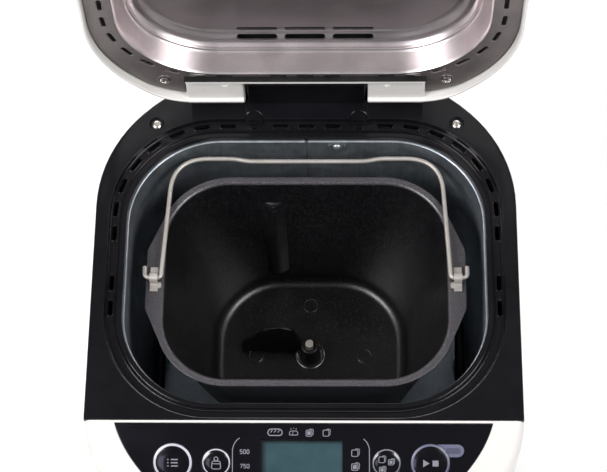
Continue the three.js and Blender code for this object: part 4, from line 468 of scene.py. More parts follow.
def place(piece, name, body, slot, replaces=(), matrix=MACHINE, look=None, sharp=32):
    """Names the piece, puts it in its place, smooths its faces, and hangs it on its body.

    It gets the look of its slot's name, unless another look is named.
    """
    if isinstance(piece, tuple):
        piece = solid(piece)
    piece.name = name
    piece.data.name = name
    piece.data.transform(matrix)
    for polygon in piece.data.polygons:
        polygon.use_smooth = True
    piece.data.set_sharp_from_angle(angle=math.radians(sharp))
    weighted = piece.modifiers.new("normals", "WEIGHTED_NORMAL")
    weighted.keep_sharp = True
    bake(piece)
    piece.data.materials.clear()
    piece.data.materials.append(LOOKS[look or slot])
    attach(piece, body)
    if replaces:
        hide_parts(*replaces)


# ---------------------------------------------------------------- finishes


LOOKS = {}  # materials by name
NOISE_ROUGHNESS = 0.55


class Graph:
    """The node tree of one material."""

    def __init__(self, name):
        self.material = bpy.data.materials.new(name)
        self.material.use_nodes = True
        self.tree = self.material.node_tree
        self.shader = self.tree.nodes["Principled BSDF"]
        coordinates = self.node("ShaderNodeTexCoord")
        self.place = coordinates.outputs["Object"]
        self.normal = coordinates.outputs["Normal"]

    def node(self, kind, inputs=None, **settings):
        node = self.tree.nodes.new(kind)
        for key, value in settings.items():
            setattr(node, key, value)
        for key, value in (inputs or {}).items():
            if isinstance(value, bpy.types.NodeSocket):
                self.tree.links.new(value, node.inputs[key])
            else:
                node.inputs[key].default_value = value
        return node

    def set(self, socket, value):
        self.shader.inputs[socket].default_value = value

    def drive(self, socket, value):
        self.tree.links.new(value, self.shader.inputs[socket])

    def stretched(self, scale):
        return self.node("ShaderNodeMapping", {"Vector": self.place, "Scale": scale}).outputs[0]

    def noise(self, scale, detail, stretch=(1, 1, 1)):
        inputs = {
            "Vector": self.stretched(stretch),
            "Scale": scale,
            "Detail": detail,
            "Roughness": NOISE_ROUGHNESS,
        }
        return self.node("ShaderNodeTexNoise", inputs).outputs["Fac"]

    def flecks(self, scale, low, high):
        """Bright spots scattered over the surface, from 0 to 1."""
        cells = self.node("ShaderNodeTexVoronoi", {"Vector": self.place, "Scale": scale})
        channel = self.node("ShaderNodeSeparateColor", {"Color": cells.outputs["Color"]})
        return self.ranged(channel.outputs[0], low, high)

    def ranged(self, value, low, high, to_low=0.0, to_high=1.0):
        inputs = {
            "Value": value,
            "From Min": low,
            "From Max": high,
            "To Min": to_low,
            "To Max": to_high,
        }
        return self.node("ShaderNodeMapRange", inputs).outputs["Result"]

    def math(self, operation, a, b):
        return self.node("ShaderNodeMath", {0: a, 1: b}, operation=operation).outputs[0]

    def mixed(self, a, share, b):
        """The sum of two values, of which the first has the share given."""
        first, second = self.math("MULTIPLY", a, share), self.math("MULTIPLY", b, 1 - share)
        return self.math("ADD", first, second)

    def blend(self, factor, a, b):
        mix = self.node("ShaderNodeMix", data_type="RGBA")
        self.tree.links.new(factor, mix.inputs[0])
        for socket, colour in ((mix.inputs[6], a), (mix.inputs[7], b)):
            if isinstance(colour, bpy.types.NodeSocket):
                self.tree.links.new(colour, socket)
            else:
                socket.default_value = (*colour, 1)
        return mix.outputs[2]

    def bump(self, height, strength, depth):
        inputs = {"Height": height, "Strength": strength, "Distance": depth * MILLIMETRE}
        self.drive("Normal", self.node("ShaderNodeBump", inputs).outputs["Normal"])


def finish(
    name,
    dark,
    light,
    rough,
    metallic=0.0,
    mottle=35,
    grain=900,
    grain_share=0.35,
    stretch=(1, 1, 1),
    bump=0.1,
    depth=0.15,
    coat=0.0,
    flecks=None,
    specular=0.5,
    shading=None,
):
    """A finish that wanders between two colours, with uneven gloss and a fine grain."""
    graph = Graph(name)
    graph.set("Metallic", metallic)
    graph.set("Coat Weight", coat)
    graph.set("Coat Roughness", 0.04)
    graph.set("Specular IOR Level", specular)
    fine = graph.noise(grain, 2.0, stretch)
    broad = graph.noise(mottle, 4.0)
    both = graph.mixed(fine, grain_share, broad)
    colour = graph.blend(graph.ranged(both, 0.35, 0.65), dark, light)
    if flecks:
        speck, scale, low, high = flecks
        colour = graph.blend(graph.flecks(scale, low, high), colour, speck)
    if shading:
        colour = shading(graph, colour)
    graph.drive("Base Color", colour)
    wear = graph.noise(mottle * 2.3, 5.0)
    graph.drive("Roughness", graph.ranged(wear, 0.3, 0.7, *rough))
    graph.bump(fine, bump, depth)
    LOOKS[name] = graph.material


def pan_shading(graph, colour):
    """The coating is painted much greyer on the pan's rim, as painted light on its top, and a little
    greyer outside.
    """
    height = graph.node("ShaderNodeSeparateXYZ", {0: graph.place}).outputs["Z"]
    inputs = {"Vector": graph.place, "Location": (0, -AXIS_Y, 0), "Scale": (1, 1, 0)}
    across = graph.node("ShaderNodeMapping", inputs).outputs[0]
    facing = graph.node("ShaderNodeVectorMath", {0: graph.normal, 1: across}, operation="DOT_PRODUCT")
    outside = graph.ranged(facing.outputs["Value"], 0.02, 0.05)
    # Painted light: the rim blends to a far lighter grey, standing in for the light that falls on the
    # pan's top.
    rim = graph.ranged(height, (PAN_RIM - 1.8) * MILLIMETRE, (PAN_RIM - 0.3) * MILLIMETRE)
    grain = graph.ranged(graph.noise(1500, 3.0), 0.36, 0.66)
    rim_painted_light = graph.blend(grain, (0.008, 0.0075, 0.009), (0.115, 0.108, 0.120))
    shell = graph.blend(grain, (0.026, 0.028, 0.034), (0.045, 0.048, 0.056))
    return graph.blend(rim, graph.blend(outside, colour, shell), rim_painted_light)


finish(
    "white_plastic", (0.665, 0.645, 0.622), (0.69, 0.67, 0.647), (0.27, 0.33), grain=1500,
    grain_share=0.2, bump=0.01, depth=0.03,
)
finish(
    "black_plastic", (0.0042, 0.0039, 0.0052), (0.0068, 0.0063, 0.0080), (0.13, 0.19), grain=1500,
)
finish(
    "black_gloss", (0.0012, 0.0012, 0.0028), (0.0024, 0.0022, 0.0046), (0.10, 0.18), mottle=18,
    bump=0.01, coat=1.0,
)
finish(
    "button_face", (0.0015, 0.0015, 0.003), (0.003, 0.003, 0.005), (0.14, 0.22), mottle=60, bump=0.02,
    coat=0.6,
)
finish(
    "print_ink", (0.17, 0.17, 0.205), (0.22, 0.22, 0.255), (0.4, 0.5), grain=2500, bump=0.03
)
finish(
    "ring_ink", (0.42, 0.41, 0.47), (0.50, 0.49, 0.55), (0.3, 0.4), grain=2500, bump=0.03
)
finish(
    "lilac_ink", (0.10, 0.105, 0.165), (0.125, 0.13, 0.195), (0.35, 0.45), grain=1800, bump=0.03
)
finish(
    "lamp_shade", (0.062, 0.064, 0.105), (0.078, 0.080, 0.125), (0.3, 0.4), grain=1800, bump=0.03
)
finish(
    "brushed_dish", (0.57, 0.515, 0.525), (0.65, 0.59, 0.595), (0.32, 0.38), metallic=1.0, mottle=25,
    grain=1100, grain_share=0.6, bump=0.22, depth=0.1,
)
finish(
    "grey_flange", (0.16, 0.14, 0.14), (0.24, 0.21, 0.205), (0.40, 0.50), metallic=0.75, mottle=30,
    grain=1700, grain_share=0.5, bump=0.16, depth=0.08,
)
finish(
    "galvanised", (0.30, 0.335, 0.37), (0.44, 0.475, 0.51), (0.38, 0.52), metallic=0.9, mottle=60,
    grain=500, stretch=(1, 1, 0.12), grain_share=0.4, bump=0.06,
)
finish(
    "bright_steel", (0.60, 0.57, 0.54), (0.72, 0.69, 0.66), (0.24, 0.32), metallic=1.0, mottle=60,
    grain=2400, stretch=(1, 0.15, 1), bump=0.02, depth=0.03,
)
# The pan's coating gets painted light on its rim from pan_shading.
finish(
    "nonstick", (0.0022, 0.0020, 0.0028), (0.0046, 0.0042, 0.0054), (0.28, 0.36), mottle=45,
    grain=1150, grain_share=0.65, bump=0.5, depth=0.18, flecks=((0.07, 0.066, 0.066), 2200, 0.90, 1.0),
    specular=0.65, shading=pan_shading,
)
finish(
    "wire_steel", (0.42, 0.39, 0.36), (0.50, 0.47, 0.44), (0.40, 0.50), metallic=0.5, mottle=40,
    grain=900, grain_share=0.2, bump=0.0, depth=0.01,
)
finish(
    "collar_steel", (0.66, 0.64, 0.62), (0.76, 0.74, 0.72), (0.20, 0.27), metallic=1.0, mottle=60,
    grain=900, grain_share=0.2, bump=0.01, depth=0.01,
)
finish(
    "paddle_coating", (0.0025, 0.0025, 0.003), (0.005, 0.005, 0.0055), (0.28, 0.40), mottle=90,
    grain=1800, bump=0.15, flecks=((0.08, 0.075, 0.07), 1700, 0.95, 1.0),
)
# Dark steel. On the lid plate's turned-down strip this dark colour is painted shade.
finish(
    "dark_steel", (0.012, 0.012, 0.013), (0.028, 0.027, 0.027), (0.42, 0.58), metallic=0.6, mottle=80,
    grain=900, bump=0.15,
)
finish(
    "inner_plastic", (0.19, 0.19, 0.185), (0.27, 0.265, 0.26), (0.45, 0.6), grain=1000, bump=0.1
)
finish("rubber", (0.012, 0.012, 0.012), (0.024, 0.023, 0.023), (0.65, 0.85), bump=0.2)
finish(
    "circuit_board", (0.02, 0.10, 0.045), (0.035, 0.16, 0.07), (0.30, 0.45), mottle=150, grain=600,
    bump=0.1, flecks=((0.45, 0.42, 0.30), 420, 0.88, 0.95),
)


def display_finish():
    """A teal liquid-crystal window whose border fades into the black round it."""
    graph = Graph("lcd")
    graph.set("Coat Weight", 0.5)
    graph.set("Coat Roughness", 0.06)
    graph.set("Specular IOR Level", 0.3)
    cloud = graph.noise(90, 4.0)
    speckle = graph.noise(1600, 1.0)
    both = graph.mixed(cloud, 0.5, speckle)
    shade = graph.ranged(both, 0.35, 0.65)
    teal = graph.blend(shade, (0.022, 0.049, 0.058), (0.031, 0.066, 0.078))
    place_at = graph.node("ShaderNodeSeparateXYZ", {0: graph.place})
    left, right = (CELLS_LEFT * MILLIMETRE, CELLS_RIGHT * MILLIMETRE)
    rear = (PANEL @ Vector((0, CELLS_REAR, 0))).y
    shade_left = graph.ranged(place_at.outputs["X"], left, left + 0.0036)
    shade_right = graph.ranged(place_at.outputs["X"], right, right - 0.0014)
    shade_rear = graph.ranged(place_at.outputs["Y"], rear, rear - 0.0022)
    inside = graph.math("MULTIPLY", graph.math("MULTIPLY", shade_left, shade_right), shade_rear)
    graph.drive("Base Color", graph.blend(inside, (0.002, 0.003, 0.004), teal))
    graph.drive("Roughness", graph.ranged(cloud, 0.3, 0.7, 0.30, 0.42))
    graph.bump(speckle, 0.05, 0.05)
    return graph.material


LOOKS["lcd"] = display_finish()

# ---------------------------------------------------------------- outlines that mate


def symmetric(*right):
    """A closed outline from the corners of its right side, front to rear."""
    left = [(-x, y, radius) for x, y, radius in reversed(right)]
    return [left[-1], *right, *left[:-1]]


SHOULDER = (BODY_HALF, SHOULDER_Y, SHOULDER_RADIUS)
REAR_BREAK = (REAR_BREAK_X, DECK_REAR, REAR_BREAK_RADIUS)
DECK_CORNERS = symmetric((BODY_HALF, -DECK_FRONT, 0.5), SHOULDER, REAR_BREAK)
BODY_CORNERS = symmetric((BODY_HALF, FRONT_Y, FRONT_CORNER_RADIUS), SHOULDER, REAR_BREAK)
LID_FRONT_CORNER = (BODY_HALF, -DECK_FRONT, LID_FRONT_RADIUS)
LID_REAR_BREAK = (BODY_HALF - LID_REAR_CHAMFER, LID_REAR, 45)
LID_CORNERS = symmetric(LID_FRONT_CORNER, SHOULDER, LID_REAR_BREAK)
# The inner plate keeps clear of the cover, and leaves a wider rim at the rear.
PLATE_HALF = BODY_HALF - LID_WALL - GAP
PLATE_REAR = LID_REAR - 5
PLATE_CHAMFER = BODY_HALF + SHOULDER_Y - 4.4 * math.sqrt(2)
PLATE_CORNERS = symmetric(
    (PLATE_HALF, LID_WALL + 1 - DECK_FRONT, 11),
    (PLATE_HALF, PLATE_CHAMFER - PLATE_HALF, SHOULDER_RADIUS - 3),
    (PLATE_CHAMFER - PLATE_REAR, PLATE_REAR, 55),
)
GROOVE_CORNERS = rectangle(GROOVE_SIDE, GROOVE_FRONT, GROOVE_REAR, GROOVE_RADIUS)
OVEN_CORNERS = rectangle(OVEN_HALF_WIDTH, -OVEN_HALF_DEPTH, OVEN_HALF_DEPTH, OVEN_RADIUS)
DISH_CORNERS = rectangle(OVEN_HALF_WIDTH, -DISH_FRONT, DISH_REAR, DISH_RADIUS)
BOWL_CORNERS = rectangle(OVEN_HALF_WIDTH - 1, 1 - DISH_FRONT, DISH_REAR - 1, DISH_RADIUS - 1)


def along_groove(step):
    """Place and angle at a number of vent pitches from the middle of the groove's rear."""
    radius = GROOVE_RADIUS - VENT_INSET
    centre = Vector((GROOVE_SIDE - GROOVE_RADIUS, GROOVE_REAR - GROOVE_RADIUS))
    run = step * VENT_PITCH
    arc = radius * math.pi / 2
    if run < centre.x:
        return run, centre.y + radius, 0.0
    if run < centre.x + arc:
        turn = (run - centre.x) / radius
        return centre.x + radius * math.sin(turn), centre.y + radius * math.cos(turn), -turn
    return centre.x + radius, centre.y - (run - centre.x - arc), -math.pi / 2


def vents(profile):
    """One body for each vent of the ring, lofted through the (height, inset) profile."""
    forms = []
    corners = rectangle(VENT_LENGTH / 2, -VENT_WIDTH / 2, VENT_WIDTH / 2, 1.3)
    slot = levels(corners, profile, 5)
    for step in VENT_STEPS:
        x, y, angle = along_groove(step)
        here = at(x, y) @ Matrix.Rotation(angle, 4, "Z")
        form = moved(loft(slot), here)
        forms.append(form)
        if step:
            forms.append(mirrored(form))
    return merged(*forms)


# ---------------------------------------------------------------- lid


def lid_rings(profile):
    """Rings of the lid's outline whose front corners open out as they move inwards."""
    front, rest = LID_CORNERS[:2], LID_CORNERS[2:]
    rings = []
    for z, inset in profile:
        opened = [(x, y, radius + inset * 1.9) for x, y, radius in front]
        rings.append([(x, y, z) for x, y in outline([*opened, *rest], inset)])
    return rings


def lid_dome(offset, start):
    """The lid's section, moved inwards by an offset, above the lines of its lip."""
    rise = LID_HEIGHT / 2 - 0.08
    reach = 32
    arc = [
        (rise * (1 + math.sin(a)) - offset, offset + reach * (1 - math.cos(a)))
        for a in quarter(14)
    ]
    return start + arc


LID_SCREWS = {
    f"lid_screw_{end}_{side}": (x if side == "right" else -x, y)
    for end, x, y in (
        ("rear", BODY_HALF - LID_REAR_CHAMFER, DECK_REAR - 38.2),
        ("front", BODY_HALF - 24, 15 - DECK_FRONT),
    )
    for side in ("left", "right")
}


def lid_shell():
    outer = loft(
        lid_rings(lid_dome(0, soften([(0.4, 1.2), (0.4, 0.9), (1.5, 0, 1.0), (3, 0)])))
    )
    hollow = loft(lid_rings(lid_dome(LID_WALL, [(-1, 1.8), (0.3, 1.8), (0.7, 2.2), (1.4, 2.6)])))
    roof = HINGE_HEIGHT + HINGE_BLOCK_RADIUS + 4
    rib_top = LID_HEIGHT * 0.8
    shell = cut(solid(outer), hollow)
    low = LID_NOTCH_Y - LID_BRIDGE
    inside = solid(
        rounded_block(rectangle(KNUCKLE_OUTER, low, LID_NOTCH_Y, 0.9), 1.0, rib_top, 0.5)
    )
    span = KNUCKLE_INNER + 1
    join(inside, block(-span, span, low + 1.2, LID_REAR - 1, roof, roof + LID_WALL))
    bosses = [
        post(x, y, 4.6, FLANGE_TOP + GAP, LID_HEIGHT * 0.86) for x, y in LID_SCREWS.values()
    ]
    join(inside, merged(*bosses))
    boolean(inside, "INTERSECT", outer)
    section = [
        (LID_NOTCH_Y - 1, HINGE_HEIGHT - KNUCKLE_RADIUS + 0.2, 0.4),
        (HINGE_Y + KNUCKLE_RADIUS, HINGE_HEIGHT - KNUCKLE_RADIUS + 0.1, KNUCKLE_RADIUS - 0.2),
        (HINGE_Y + KNUCKLE_RADIUS, HINGE_HEIGHT + KNUCKLE_RADIUS, KNUCKLE_RADIUS - 0.2),
        (HINGE_Y - 3, HINGE_HEIGHT + KNUCKLE_RADIUS, 0.4), (HINGE_Y - 3, rib_top - 2, 0.4),
        (LID_NOTCH_Y - 1, rib_top - 2, 0.4),
    ]
    knuckle = moved(rounded_block(section, KNUCKLE_INNER, KNUCKLE_OUTER, 1.8, 14), YZ_TO_XY)
    grip = rectangle(GRIP_HALF, -DECK_FRONT - GRIP_REACH, 1 - DECK_FRONT, 3.4)
    grip = rounded_block(grip, GRIP_BOTTOM, GRIP_TOP, 1.6, 10)
    join(shell, as_form(inside), knuckle, mirrored(knuckle), grip)
    notch = block(-KNUCKLE_INNER, KNUCKLE_INNER, LID_NOTCH_Y, LID_REAR + 20, -1, roof)
    bores = [cross_bar(s * 28, s * 52.9, HINGE_Y, HINGE_HEIGHT, PIN_BORE) for s in (-1, 1)]
    dimples = [
        moved(
            turned([(0, -1), (3.2, -1), (2.9, 1.9), (1.5, 1.9), (1.3, 0.9), (0, 0.9)], 40),
            at(s * DIMPLE_X, LID_NOTCH_Y + 3.0, HINGE_HEIGHT - KNUCKLE_RADIUS),
        )
        for s in (-1, 1)
    ]
    holes = [
        post(x, y, SCREW_HOLE, 0, FLANGE_TOP + GAP + 9, 20) for x, y in LID_SCREWS.values()
    ]
    return cut(shell, notch, merged(*bores), merged(*dimples), merged(*holes))


def as_form(piece):
    """The points and faces of a temporary object, which is removed."""
    points = [tuple(v.co) for v in piece.data.vertices]
    faces = [tuple(polygon.vertices) for polygon in piece.data.polygons]
    bpy.data.objects.remove(piece)
    return points, faces


place(lid_shell(), "lid_cover", "lid", "white_plastic", ["lid_shell"], matrix=LID)


def lid_flange():
    bottom, top = FLANGE_BOTTOM, FLANGE_TOP
    plate = solid(
        lofted(PLATE_CORNERS, [(bottom, 0.3), (bottom + 0.25, 0), (top, 0)])
    )
    dimple = turned(
        [
            (3.9, bottom + 0.5), (4.0, bottom - 0.25), (4.3, bottom - 0.4), (4.7, bottom - 0.25),
            (5.0, bottom + 0.5),
        ],
        40,
    )
    emboss = [moved(dimple, at(x, y)) for x, y in LID_SCREWS.values()]
    join(plate, merged(*emboss))
    knuckle_bay = block(-KNUCKLE_OUTER - 1, KNUCKLE_OUTER + 1, LID_NOTCH_Y - 2.5, LID_REAR + 20, 0, 9)
    slots = vents([(bottom - 1, -0.55), (bottom, -0.4), (bottom + 0.35, 0), (top + 1, 0)])
    holes = [post(x, y, SCREW_HOLE, 0, 9, 20) for x, y in LID_SCREWS.values()]
    opening = prism(outline(DISH_CORNERS, -GAP), 0, 9)
    return cut(plate, opening, knuckle_bay, slots, merged(*holes))


place(lid_flange(), "lid_plate", "lid", "grey_flange", ["lid_flange"], matrix=LID)


def plate_return():
    """The strip that turns down in front of the cover's rear wall, with its dummy vents; its dark
    colour is painted shade on the grey plate.
    """
    face = LID_NOTCH_Y - 3.1
    half = KNUCKLE_OUTER + 0.8
    strip = rectangle(half, face, face + 0.6, 0.2)
    strip = solid(rounded_block(strip, 0.85, FLANGE_TOP - 0.02, 0.1, 3))
    for step in (-3, -1, 0, 1, 3):
        x = step * VENT_PITCH
        join(strip, block(x - 5.6, x + 5.6, face - 0.22, face + 0.2, 3.3, 3.65))
        join(strip, block(x - 5.6, x + 5.6, face - 0.12, face + 0.2, 5.0, 5.2))
    return strip


# The turned-down strip is coloured dark as painted shade, though it belongs to the grey plate.
place(plate_return(), "plate_return", "lid", "dark_steel", matrix=LID)


def lid_dish():
    mouth = DISH_MOUTH
    inner = soften(
        [
            (mouth - 1, -0.9), (mouth, -0.5), (mouth + 1.2, 0.2, 0.7), (mouth + 14.6, 4.4, 2.0),
            (mouth + 15.6, 5.9, 0.6), (mouth + 17.2, 6.1, 0.9), (mouth + 20.0, 8.3, 1.6),
            (mouth + 20.4, 10.2, 0.5), (mouth + 19.9, 10.9, 0.4), (mouth + 20.6, 11.9, 0.6),
            (mouth + 23.6, 15.6, 2.4), (mouth + 24.1, 24),
        ]
    ) + [(mouth + 24.5, 36), (mouth + 24.7, 50), (mouth + 24.8, 70)]
    outer = [(mouth, -0.9), (mouth + 0.35, -1.15), (mouth + 15.5, 3.7), (mouth + 20.5, 8.2)]
    outer += [(mouth + 24.8, 14.6), (mouth + 25.8, 36), (mouth + 26, 70)]
    bowl = solid(lofted(BOWL_CORNERS, outer))
    lip = FLANGE_TOP + GAP
    join(bowl, lofted(DISH_CORNERS, [(lip, -3), (lip + 1, -3)]))
    slots = []
    for from_rear, width in DISH_VENTS:
        for column in (-1, 0, 1):
            corners = rectangle(DISH_VENT_LENGTH / 2, -width / 2, width / 2, width / 2.2)
            slot = lofted(corners, [(mouth + 14, 0), (mouth + 40, 0)], 6)
            slots.append(
                moved(slot, at(column * DISH_VENT_PITCH, DISH_REAR - from_rear))
            )
    return cut(bowl, lofted(BOWL_CORNERS, inner), merged(*slots))


place(lid_dish(), "dish", "lid", "brushed_dish", ["lid_dish"], matrix=LID, sharp=40)

# A dark sheet inside the lid, behind the dish's vents.
screen_low = DISH_MOUTH + 26.6
screen_half = DISH_VENT_PITCH + DISH_VENT_LENGTH / 2 + 8
screen_face = DISH_REAR - 3
screen = rectangle(screen_half, DISH_REAR - 34, screen_face, 4)
skirt = rectangle(screen_half, screen_face - 0.8, screen_face, 0.3)
screen = solid(rounded_block(screen, screen_low, screen_low + 0.8, 0.2))
join(screen, rounded_block(skirt, FLANGE_TOP + 10, screen_low + 0.4, 0.1))
place(screen, "vent_screen", "lid", "dark_steel", matrix=LID)


def screw(head=3.1, rise=1.6, shank=1.6, length=9):
    """A cross-head screw. Its head rests at zero and its shank points down."""
    body = solid(
        turned(
            [
                (0, -length), (shank * 0.6, -length), (shank, -length + 1), (shank, 0),
                (head * 0.97, 0), (head, 0.25), (head * 0.97, rise * 0.55),
                (head * 0.8, rise * 0.86), (head * 0.55, rise * 0.98), (0, rise),
            ],
            36,
        )
    )
    arm = [(rise + 1, -0.45), (rise, -0.12), (rise - 1.1, 0.25)]
    long_way = lofted(rectangle(1.9, -0.5, 0.5, 0.2), list(reversed(arm)), 2)
    return cut(body, long_way, moved(long_way, Matrix.Rotation(math.pi / 2, 4, "Z")))


for turn, (name, (x, y)) in enumerate(LID_SCREWS.items()):
    seat = at(x, y, FLANGE_BOTTOM - GAP) @ Matrix.Rotation(math.pi, 4, "X")
    seat = seat @ Matrix.Rotation(0.5 + turn * 0.7, 4, "Z")
    place(screw(), name + "_head", "lid", "bright_steel", [name], matrix=LID @ seat)

# ---------------------------------------------------------------- deck


def grown(corners, reach):
    """A rectangle with round corners, moved outwards."""
    return [
        (x + math.copysign(reach, x), y + math.copysign(reach, y), radius + reach)
        for x, y, radius in corners
    ]


def deck():
    edge = soften(
        [(DECK_BOTTOM, 0.3), (DECK_BOTTOM + 0.3, 0, 0.2), (DECK_TOP, 0, 1.3), (DECK_TOP, 2.4)]
    )
    cover = cut(
        solid(lofted(DECK_CORNERS, edge)),
        prism(outline(DECK_CORNERS, BODY_WALL), DECK_BOTTOM - 1, DECK_TOP - DECK_THICKNESS),
    )
    channel = [
        (x, max(y, -DECK_FRONT + 0.2)) for x, y in outline(GROOVE_CORNERS, -BODY_WALL)
    ]
    join(cover, prism(channel, GROOVE_FLOOR - 3, DECK_TOP - DECK_THICKNESS / 2))
    groove = soften(
        [
            (GROOVE_FLOOR, 1.6), (GROOVE_FLOOR, 0.4, 1.0), (DECK_TOP - 0.24, 0, 0.12),
            (DECK_TOP, -0.85), (DECK_TOP + 1, -0.9),
        ]
    )
    cut(cover, lofted(GROOVE_CORNERS, groove))
    rib = soften([(GROOVE_FLOOR - 1, 0), (RIB_TOP, 0.15, 0.7), (RIB_TOP, 1.2)])
    low_top = GROOVE_FLOOR + 0.9
    low_rib = soften(
        [(GROOVE_FLOOR - 1, -2.2), (low_top, -2.0, 0.4), (low_top, -1.2, 0.4), (GROOVE_FLOOR, -1.1)]
    )
    rib_corners = grown(OVEN_CORNERS, 3.8)
    join(cover, lofted(rib_corners, low_rib), lofted(rib_corners, rib))
    block_corners = [
        (HINGE_Y - HINGE_BLOCK_RADIUS, DECK_TOP - DECK_THICKNESS / 2, 0.3),
        (HINGE_Y + HINGE_BLOCK_RADIUS, DECK_TOP - DECK_THICKNESS / 2, 0.3),
        (HINGE_Y + HINGE_BLOCK_RADIUS, HINGE_Z + HINGE_BLOCK_RADIUS, HINGE_BLOCK_RADIUS - 0.1),
        (HINGE_Y - HINGE_BLOCK_RADIUS, HINGE_Z + HINGE_BLOCK_RADIUS, HINGE_BLOCK_RADIUS - 0.1),
    ]
    hinge_block = rounded_block(block_corners, -HINGE_BLOCK_HALF, HINGE_BLOCK_HALF, 1.0, 14)
    join(cover, moved(hinge_block, YZ_TO_XY))
    screws = [(s * DECK_SCREW_X, DECK_SCREW_Y) for s in (-1, 1)]
    join(cover, merged(*[post(x, y, 6.4, DECK_BOTTOM + 2, DECK_TOP - 1.5) for x, y in screws]))
    spigot_x, spigot_y, _ = along_groove(SPIGOT_STEP)
    cups = []
    for side in (-1, 1):
        here = at(side * spigot_x, spigot_y + 3, GROOVE_FLOOR)
        lobe = [(0, 2.4), (6.3, 2.4), (6.6, 2.8), (6.7, 3.7), (7.1, 4.05), (7.1, 5), (0, 5)]
        cut(cover, moved(turned(lobe, 56), here))
        cup = [(4.2, -1), (4.2, 2.6), (4.5, 3.0), (5.1, 3.0), (5.4, 2.6), (5.4, -1)]
        cups.append(moved(turned(cup, 40), here))
    join(cover, merged(*cups))
    rim = [(GROOVE_FLOOR - 1, -0.9), (GROOVE_FLOOR + 0.35, -0.75), (GROOVE_FLOOR + 0.5, -0.5)]
    join(cover, vents(rim))
    pocket = [(0, -2), (4.5, -2), (4.8, -1.6), (4.85, -0.5), (5.3, 0.05), (5.3, 1), (0, 1)]
    pockets = [
        moved(
            turned(pocket, 48),
            at(x, y, DECK_TOP),
        )
        for x, y in screws
    ]
    shanks = [post(x, y, SCREW_HOLE, DECK_BOTTOM, DECK_TOP, 24) for x, y in screws]
    bores = [cross_bar(s * 28.2, s * 60, HINGE_Y, HINGE_Z, PIN_BORE) for s in (-1, 1)]
    opening = soften([(DECK_BOTTOM, 0), (RIB_TOP, 0, 0.7), (RIB_TOP, -0.7), (DECK_TOP + 30, -0.7)])
    slot = [(GROOVE_FLOOR - 5, 0), (GROOVE_FLOOR + 0.1, 0), (GROOVE_FLOOR + 0.5, -0.3)]
    slot.append((DECK_TOP, -0.4))
    cut(cover, lofted(grown(OVEN_CORNERS, DECK_LIP), opening), vents(slot))
    return cut(cover, merged(*pockets), merged(*shanks), merged(*bores))


place(deck(), "top_cover", "housing", "black_plastic", ["deck"])

for side, name in ((-1, "deck_screw_left"), (1, "deck_screw_right")):
    seat = (side * DECK_SCREW_X, DECK_SCREW_Y, DECK_TOP - DECK_POCKET + GAP)
    here = at(*seat) @ Matrix.Rotation(0.4 * side, 4, "Z")
    place(screw(), name + "_head", "housing", "bright_steel", [name], matrix=MACHINE @ here)

# ---------------------------------------------------------------- control panel

PANEL_LENGTH = (-DECK_FRONT - FRONT_Y) / math.cos(PANEL_SLOPE)


def quadratic(a, b, c, steps=16):
    """Points of a curve, without its end."""
    return [tuple(p) for p in curve(Vector(a), Vector(b), Vector(c), steps)[:-1]]


def fascia_outline(inset):
    top = -2.3 - inset
    bottom = -PANEL_LENGTH + 5.5 + inset
    half = BODY_HALF - 20 - inset
    side = BODY_HALF - 25 - inset
    shoulder = BODY_HALF - 42 - inset
    turn = -40 + inset / 2
    corner = BODY_HALF - 56 - inset / 2
    foot = BODY_HALF - 82
    return [
        *quadratic((-half, top), (-side, -22), (-shoulder, turn)),
        *quadratic((-shoulder, turn), (-corner, bottom), (-foot, bottom)),
        (-foot, bottom),
        *quadratic((foot, bottom), (corner, bottom), (shoulder, turn)),
        *quadratic((shoulder, turn), (side, -22), (half, top)),
        (half, top),
    ]


def fascia_levels(profile):
    return [[(x, y, z) for x, y in fascia_outline(inset)] for z, inset in profile]


def panel_surround():
    slope = math.tan(PANEL_SLOPE)
    shear = at(0, 0, DECK_FRONT * slope) @ Matrix(
        ((1, 0, 0, 0), (0, 1, 0, 0), (0, slope, 1, 0), (0, 0, 0, 1))
    )
    crown = [
        (DECK_TOP - 5 + 5 * math.sin(a), 5.5 * (1 - math.cos(a)))
        for a in quarter(10)
    ]
    outer = lofted(BODY_CORNERS, [(DECK_BOTTOM, 0.3), (DECK_BOTTOM + 0.4, 0), *crown])
    under = DECK_TOP - 4 / math.cos(PANEL_SLOPE)
    hollow = prism(outline(BODY_CORNERS, BODY_WALL), DECK_BOTTOM - 1, under)
    rear = block(-200, 200, -DECK_FRONT - GAP, 300, 0, 400)
    piece = cut(solid(moved(outer, shear)), moved(hollow, shear), rear)
    posts = [post(s * (BODY_HALF - 22), -12, 2.4, -8.7, -3.5) for s in (-1, 1)]
    join(piece, moved(merged(*posts), PANEL_IN_MACHINE))
    recess = soften(
        [(-2.3, -0.3), (0, -0.3, 0.5), (0, -1.0), (2, -1.1), (12, -1.2)]
    )
    return cut(
        piece,
        moved(loft(fascia_levels(recess)), PANEL_IN_MACHINE),
        moved(loft(fascia_levels([(-9, 3), (10, 3)])), PANEL_IN_MACHINE),
    )


place(panel_surround(), "panel_frame", "housing", "white_plastic", ["control_surround"])

PLACES = {}
for name, row in BUTTON_ROWS.items():
    low, high = cad(name)
    PLACES[name] = ((low.x + high.x) / 2, -row, (high.x - low.x) / 2 - BUTTON_FLANGE)
START_X, START_Y, _ = PLACES["start_button"]
DISPLAY_CORNERS = rectangle(DISPLAY_HALF, -DISPLAY_TOP - DISPLAY_HEIGHT, -DISPLAY_TOP, 2, DISPLAY_X)
LENS_LENGTH = 21.3  # from the start button's axis
LENS_MIDDLE = -19.8
LENS_HALF = 4.1
LENS_BITE = 13.5  # radius of the start button's round


